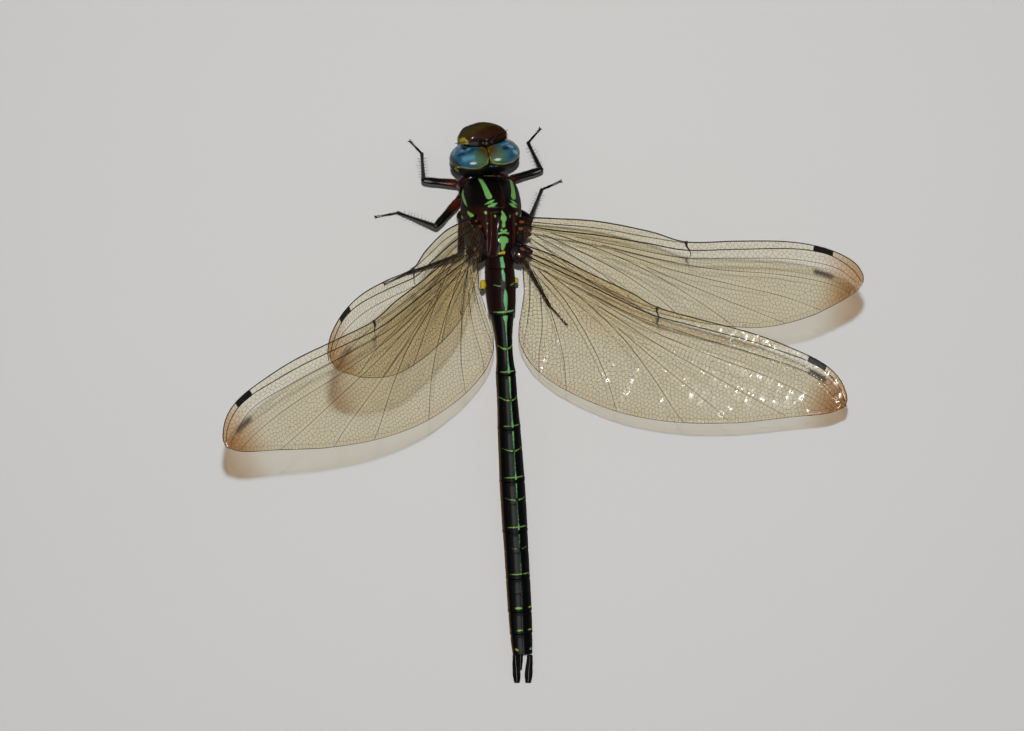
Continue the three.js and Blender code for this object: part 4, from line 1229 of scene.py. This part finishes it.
def inside_outline(points, edge):
    """Whether points are inside a closed outline."""
    inside = np.zeros(len(points), bool)
    for (ax, ay), (bx, by) in zip(edge, np.roll(edge, -1, axis=0)):
        crosses = (ay > points[:, 1]) != (by > points[:, 1])
        with np.errstate(divide="ignore", invalid="ignore"):
            at = (bx - ax) * (points[:, 1] - ay) / (by - ay) + ax
        inside ^= crosses & (points[:, 0] < at)
    return inside


def spaced_along(curve, spacing):
    """Points at an even spacing along a curve, and the directions away from it there."""
    reach = reaches(curve)
    at = np.arange(spacing / 2, reach[-1], spacing)
    ahead = unit(at_reach(at + 0.05, reach, curve) - at_reach(at - 0.05, reach, curve) + 1e-9)
    return at_reach(at, reach, curve), rows(-ahead[:, 1], ahead[:, 0])


def widened(seeds, candidates, room):
    """Seeds, and those candidates that have room beside them."""
    kept = list(seeds)
    for point in candidates:
        near = np.array(kept)
        if np.min(np.hypot(near[:, 0] - point[0], near[:, 1] - point[1])) > room:
            kept.append(point)
    return np.array(kept)


def net_seeds(front, rear, edge, veins, node):
    """The middles of the net's cells: one row between the front veins, then pairs along both
    sides of each long vein and of the edge, then an uneven fill."""
    curves = {name: along_curve(vein[0], np.linspace(0, 1, 80)) for name, vein in veins.items()}
    curves["costa"] = front
    seeds = []
    inner = np.arange(1.4, node, 1.3)
    outer = np.arange(node + 0.6, front[-1, 0] - 2.5, 0.95)
    for out, pairs in (
        (inner, (("costa", "subcosta"), ("subcosta", "radius"))),
        (outer, (("costa", "radius"), ("radius", "sector_1"))),
    ):
        for pair in pairs:
            first, second = (np.interp(out, *curves[vein].T) for vein in pair)
            seeds.append(rows(out, (first + second) / 2))
    seeds = np.vstack(seeds)
    seeds = seeds[inside_outline(seeds, edge)]
    # the edge: a seed outside it for every one inside
    beyond_edge = []
    for curve in (front, rear):
        for point, off in zip(*spaced_along(curve, CELL * 0.95)):
            inner, beyond = point - off * EDGE_PAIR, point + off * EDGE_PAIR
            if not inside_outline(inner[None], edge)[0]:
                inner, beyond = beyond, inner
            if np.hypot(*(seeds - inner).T).min() > CELL * 0.72:
                seeds = np.vstack([seeds, inner])
                beyond_edge.append(beyond)
            else:
                beyond_edge.append(beyond + (beyond - inner) * 0.4)
    for name in veins:
        points, away = spaced_along(curves[name], CELL * (1.3 if name in ("subcosta", "radius") else 1.02))
        both = np.stack([points - away * VEIN_PAIR, points + away * VEIN_PAIR], axis=1).reshape(-1, 2)
        seeds = widened(seeds, both[inside_outline(both, edge)], CELL * 0.74)
    low, high = edge.min(axis=0), edge.max(axis=0)
    columns = np.arange(low[0], high[0], CELL)
    lines = np.arange(low[1], high[1], CELL * 0.87)
    fill = np.array([(x + (j % 2) * CELL / 2, y) for j, y in enumerate(lines) for x in columns])
    fill = fill + rng.normal(0, CELL * 0.1, fill.shape)
    return widened(seeds, fill[inside_outline(fill, edge)], CELL * 0.76), np.array(beyond_edge)


def sides_of(face):
    """The edges of a face, each with the lower of its two points first."""
    return [tuple(sorted(pair)) for pair in zip(face, (*face[1:], face[0]))]


def net_cells(front, rear, veins, node):
    """The cells round the seeds, cut off at the wing's edge, as points, faces and edges."""
    edge = np.vstack([front, rear[::-1][1:-1]])
    everything = np.vstack(net_seeds(front, rear, edge, veins, node))
    corners, _, triangles, _, _, _ = delaunay_2d_cdt([Vector(p) for p in everything], [], [], 0, 1e-6)
    triangles = np.array([t for t in triangles if len(t) == 3])
    # the centre of the circle through each triangle's corners
    a, b, c = np.array([tuple(p) for p in corners])[triangles.T]
    (ax, ay), (bx, by), (cx, cy) = a.T, b.T, c.T
    a2, b2, c2 = (a**2).sum(1), (b**2).sum(1), (c**2).sum(1)
    d = 2 * (ax * (by - cy) + bx * (cy - ay) + cx * (ay - by))
    x = (a2 * (by - cy) + b2 * (cy - ay) + c2 * (ay - by)) / d
    y = (a2 * (cx - bx) + b2 * (ax - cx) + c2 * (bx - ax)) / d
    centres = rows(x, y)
    sharing = {}
    for index, triangle in enumerate(triangles):
        for pair in sides_of(triangle):
            sharing.setdefault(pair, []).append(index)
    is_inside = inside_outline(centres, edge)
    walls = []
    for owners in sharing.values():
        if len(owners) == 2 and is_inside[owners].any():
            if np.linalg.norm(centres[owners[0]] - centres[owners[1]]) < LONGEST_WALL:
                walls.append(owners)
    used = sorted({i for wall in walls for i in wall})
    renumber = {old: new for new, old in enumerate(used)}
    walls = [(renumber[i], renumber[j]) for i, j in walls]
    count = len(edge)
    walls += [(len(used) + i, len(used) + (i + 1) % count) for i in range(count)]
    ends = [Vector(p) for p in (*centres[used], *edge)]
    points, _, faces, _, _, _ = delaunay_2d_cdt(ends, walls, [], 3, 0.004)
    points = np.array([tuple(p) for p in points])
    keep = inside_outline(np.array([points[list(face)].mean(axis=0) for face in faces]), edge)
    faces = [list(face) for face, kept in zip(faces, keep) if kept]
    return points, faces, np.array(sorted({pair for face in faces for pair in sides_of(face)}))


def meshed(name, points, faces):
    """A piece from its points and faces."""
    mesh = bpy.data.meshes.new(name)
    mesh.from_pydata(points.tolist(), [], faces)
    mesh.update()
    piece = bpy.data.objects.new(name, mesh)
    bpy.context.scene.collection.objects.link(piece)
    return piece


def bars_between(name, starts, ends, over, radius):
    """Thin four-sided bars, one for each wall of the net."""
    side = np.cross(unit(ends - starts), over)
    corners = [side * radius, over * radius, -side * radius, -over * radius]
    points = np.stack([end + corner for end in (starts, ends) for corner in corners], axis=1)
    box = [(k, (k + 1) % 4, (k + 1) % 4 + 4, k + 4) for k in range(4)] + [(3, 2, 1, 0), (4, 5, 6, 7)]
    faces = np.vstack([np.arange(len(starts))[:, None] * 8 + wall for wall in box])
    return meshed(name, points.reshape(-1, 3) * MM, faces.tolist())


# Wing membrane: dried chitin film. It is clear with an amber stain that turns rusty brown at
# the tip and the hind edge, and it is glossy.
membrane, tree = new_material("amber_wing_film")
place = noted(tree, "blade", "Vector")
split = add(tree, "SeparateXYZ", {0: place})
out, back = split.outputs["X"], split.outputs["Y"]
rust = reckoned(tree, "MAXIMUM", ramp(tree, out, 0.86, 1.0), ramp(tree, back, 0.88, 1.0, 0.12))
strip = reckoned(tree, "MULTIPLY", ramp(tree, out, 0.55, 0.2, 0.22), ramp(tree, back, 0.55, 0.15))
blotch = add(tree, "TexNoise", {"Vector": place, "Scale": 5.0, "Detail": 3.0})
tint = blend(tree, strip, blend(tree, blotch, "fffdf7", "fffbef"), "e9dbb0")
clear = add(tree, "BsdfTransparent", {"Color": blend(tree, rust, tint, "f2dcc0")})
surface = {"Base Color": blend(tree, rust, "8c7442", "6d4222"), "Roughness": 0.2, "IOR": 1.6}
gloss = {"Coat Weight": 1.0, "Coat Roughness": 0.07, "Coat IOR": 1.6}
film = add(tree, "BsdfPrincipled", {**surface, **gloss})
cover = reckoned(tree, "MULTIPLY_ADD", rust, 0.1, 0.025)
add(tree, "OutputMaterial", {0: add(tree, "MixShader", {0: cover, 1: clear, 2: film})})

# Veins: thick dark chitin, black and glossy along the front of the wing, brown in the net.
vein_chitin = even_material("black_vein_chitin", "0d0907", {"Roughness": 0.5, "Specular IOR Level": 0.15})
net_chitin = even_material("brown_net_chitin", "2a1c0e", {"Roughness": 0.45, "IOR": 1.5})
root_marks = (("pale", "5a2808", "80420e"),)
root_cuticle = cuticle("amber_and_black_wing_root", "080504", "3c1a08", root_marks, 0.5, 5.0, 0.2)


def make_root(name, wing):
    """The leathery web that joins a wing to the thorax, with a ridge into each thick vein."""
    blade = wing[0]
    front, rear = (np.array(points, float).T for points in (blade.front, blade.rear))
    furthest, further = blade.web

    def shape(part, angle):
        inside, _, shrink = rounded(part, 0.08)
        lean = np.clip(np.cos(angle), -1, 1) * 1.6 - 0.55
        reach = 0.3 + 0.9 * sum(bell(lean - at, 0.22) for at in ROOT_RIDGES)
        out = -3.2 + (3.2 + reach) * inside
        ahead = np.interp(out, *front) - 0.12
        behind = np.maximum(np.interp(out, *rear) + 0.1, furthest) - further * smooth_step(0.9, -0.3, out)
        thick = (0.5 + 0.7 * smooth_step(-1.0, -2.6, out) - 0.43 * smooth_step(-0.8, 0.9, out)) * shrink
        forward, over = outline(angle, (ahead - behind) / 2 * shrink, thick, -thick, 2.2, 2.2)
        forward = forward + (ahead + behind) / 2
        ridges = sum(bell(forward - at, 0.17) for at in ROOT_RIDGES)
        fall = smooth_step(-1.2, -0.2, out) * smooth_step(1.0, 0.5, out)
        over = over * (1 - 0.45 * fall) + 0.2 * ridges * fall * np.sign(over)
        own = rows(out, forward, over)
        return own, blade_place(wing, own[:, :2], over)

    web, own = formed(name, 64, 60, shape)
    out, forward, _ = own.T
    note(web, "place", own + (len(name), 0, 0))
    note(web, "red", 0.45 * smooth_step(-1.2, 0.3, out))
    soft = np.minimum(np.abs(forward - 0.25), np.abs(forward + 0.8)) - 0.2
    note(web, "pale", np.maximum(soft, np.abs(out + 0.5) - 0.35))
    # the hard plates that the thick veins turn on
    pieces = [web]
    for at, size in ROOT_PLATES:
        held = wing_place(wing, np.array([(-0.75, at), (-0.15, at * 1.05)]), (0.15, 0.1))
        plate = rod("plate", held, (size, size * 0.6), 24, 24)
        note(plate, "red", 0.15)
        note(plate, "pale", 1)
        pieces.append(plate)
    return joined(name, pieces)


def make_film(name, wing, front, rear, points, faces):
    """The film, a face for each cell, with its middle joined to its corners."""
    blade = wing[0]
    piece = meshed(name, np.column_stack([points, np.zeros(len(points))]), faces)
    edited(piece, (bpy.ops.mesh.delete_loose, {}), (bpy.ops.mesh.poke, {}))
    points = read(piece)[:, :2]
    out, forward = points.T
    part = out / blade.span
    over = pleat(blade, points)
    # it is a little crumpled, most of all along the pleats of the outer half
    fold = smooth_step(0.5, 0.95, np.abs(over) / (PLEAT * fade(part))) * smooth_step(0.3, 0.5, part)
    over = over + crimp(blade, points) + rng.normal(0, 1, len(points)) * (0.004 + 0.007 * fold)
    put(piece, blade_place(wing, points, over))
    front_at, rear_at = np.interp(out, *front.T), np.interp(out, *rear.T)
    back = np.clip((front_at - forward) / np.maximum(front_at - rear_at, 0.3), 0, 1)
    note(piece, "blade", rows(part, back, forward / 10))
    bpy.ops.object.modifier_add(type="SOLIDIFY")
    piece.modifiers[0].thickness = FILM_THICKNESS * MM
    piece.modifiers[0].offset = 0
    bpy.ops.object.modifier_apply(modifier=piece.modifiers[0].name)
    bpy.ops.object.shade_smooth()
    return piece


def make_net(name, wing, points, edges):
    """The net, a thin bar on each wall between cells."""
    ends = [points[edges[:, k]] for k in (0, 1)]
    starts, stops = (blade_place(wing, end, pleat(wing[0], end) + crimp(wing[0], end)) for end in ends)
    level = np.zeros(len(edges))
    above = unit(blade_place(wing, ends[0], level + 1) - blade_place(wing, ends[0], level))
    return bars_between(name, starts, stops, above, NET_RADIUS)


def make_stigma(name, wing, front):
    """The dark thick cell at the front edge near the tip."""
    blade = wing[0]
    start, end = blade.stigma
    radius_line = along_curve(blade.veins["radius"][0], np.linspace(0, 1, 200))

    def shape(part, angle):
        inside, closing, _ = rounded(part, 0.05)
        shrink = np.sqrt(closing)
        out = start + (end - start) * inside
        ahead = np.interp(out, *front.T) + 0.04
        behind = np.interp(out, *radius_line.T) - 0.04
        thick = 0.1 * shrink
        forward, over = outline(angle, (ahead - behind) / 2 * shrink, thick, -thick, 2.6, 2.6)
        points = rows(out, forward + (ahead + behind) / 2)
        return rows(*points.T, over), blade_place(wing, points, pleat(blade, points) + over)

    return formed(name, 24, 32, shape)[0]


def make_veins(name, wing, front):
    """The long veins and the edge, with the node and the stigma."""
    blade = wing[0]
    edges = (blade.front, *COSTA_RADII), (blade.rear, *MARGIN_RADII)
    rods = []
    for points, thick, thin in (*blade.veins.values(), *edges):
        if points[0][0] < 0.5:
            points = ((VEIN_START, points[0][1] * 0.8), *points)
        curve = along_curve(points, np.linspace(0, 0.995, 60))
        held = blade_place(wing, curve, pleat(blade, curve))
        rods.append(rod("vein", held, np.linspace(thick, thin, 60), 8, 120))
    # the node, a stout brace from the edge to the radius that slants on behind it
    edge_at = np.interp(blade.node, *front.T)
    brace = np.array(NODE_BRACE) + (blade.node, edge_at)
    held = blade_place(wing, brace, pleat(blade, brace))
    rods.append(rod("node", held, NODE_RADII, 10, 32))
    rods.append(make_stigma("stigma", wing, front))
    return joined(name, rods)


nets = {}
for name, wing in WINGS.items():
    blade = wing[0]
    front, rear = (along_curve(points, np.linspace(0, 1, 120)) for points in (blade.front, blade.rear))
    if blade.span not in nets:
        nets[blade.span] = net_cells(front, rear, blade.veins, blade.node)
    points, faces, edges = nets[blade.span]
    finish(make_film(f"{name}_film", wing, front, rear, points, faces), membrane, "wing_membrane", name)
    finish(make_net(f"{name}_net", wing, points, edges), net_chitin, "wing_membrane")
    finish(make_veins(f"{name}_veins", wing, front), vein_chitin, "wing_membrane")
    finish(make_root(f"{name}_root", wing), root_cuticle, "wing_membrane")
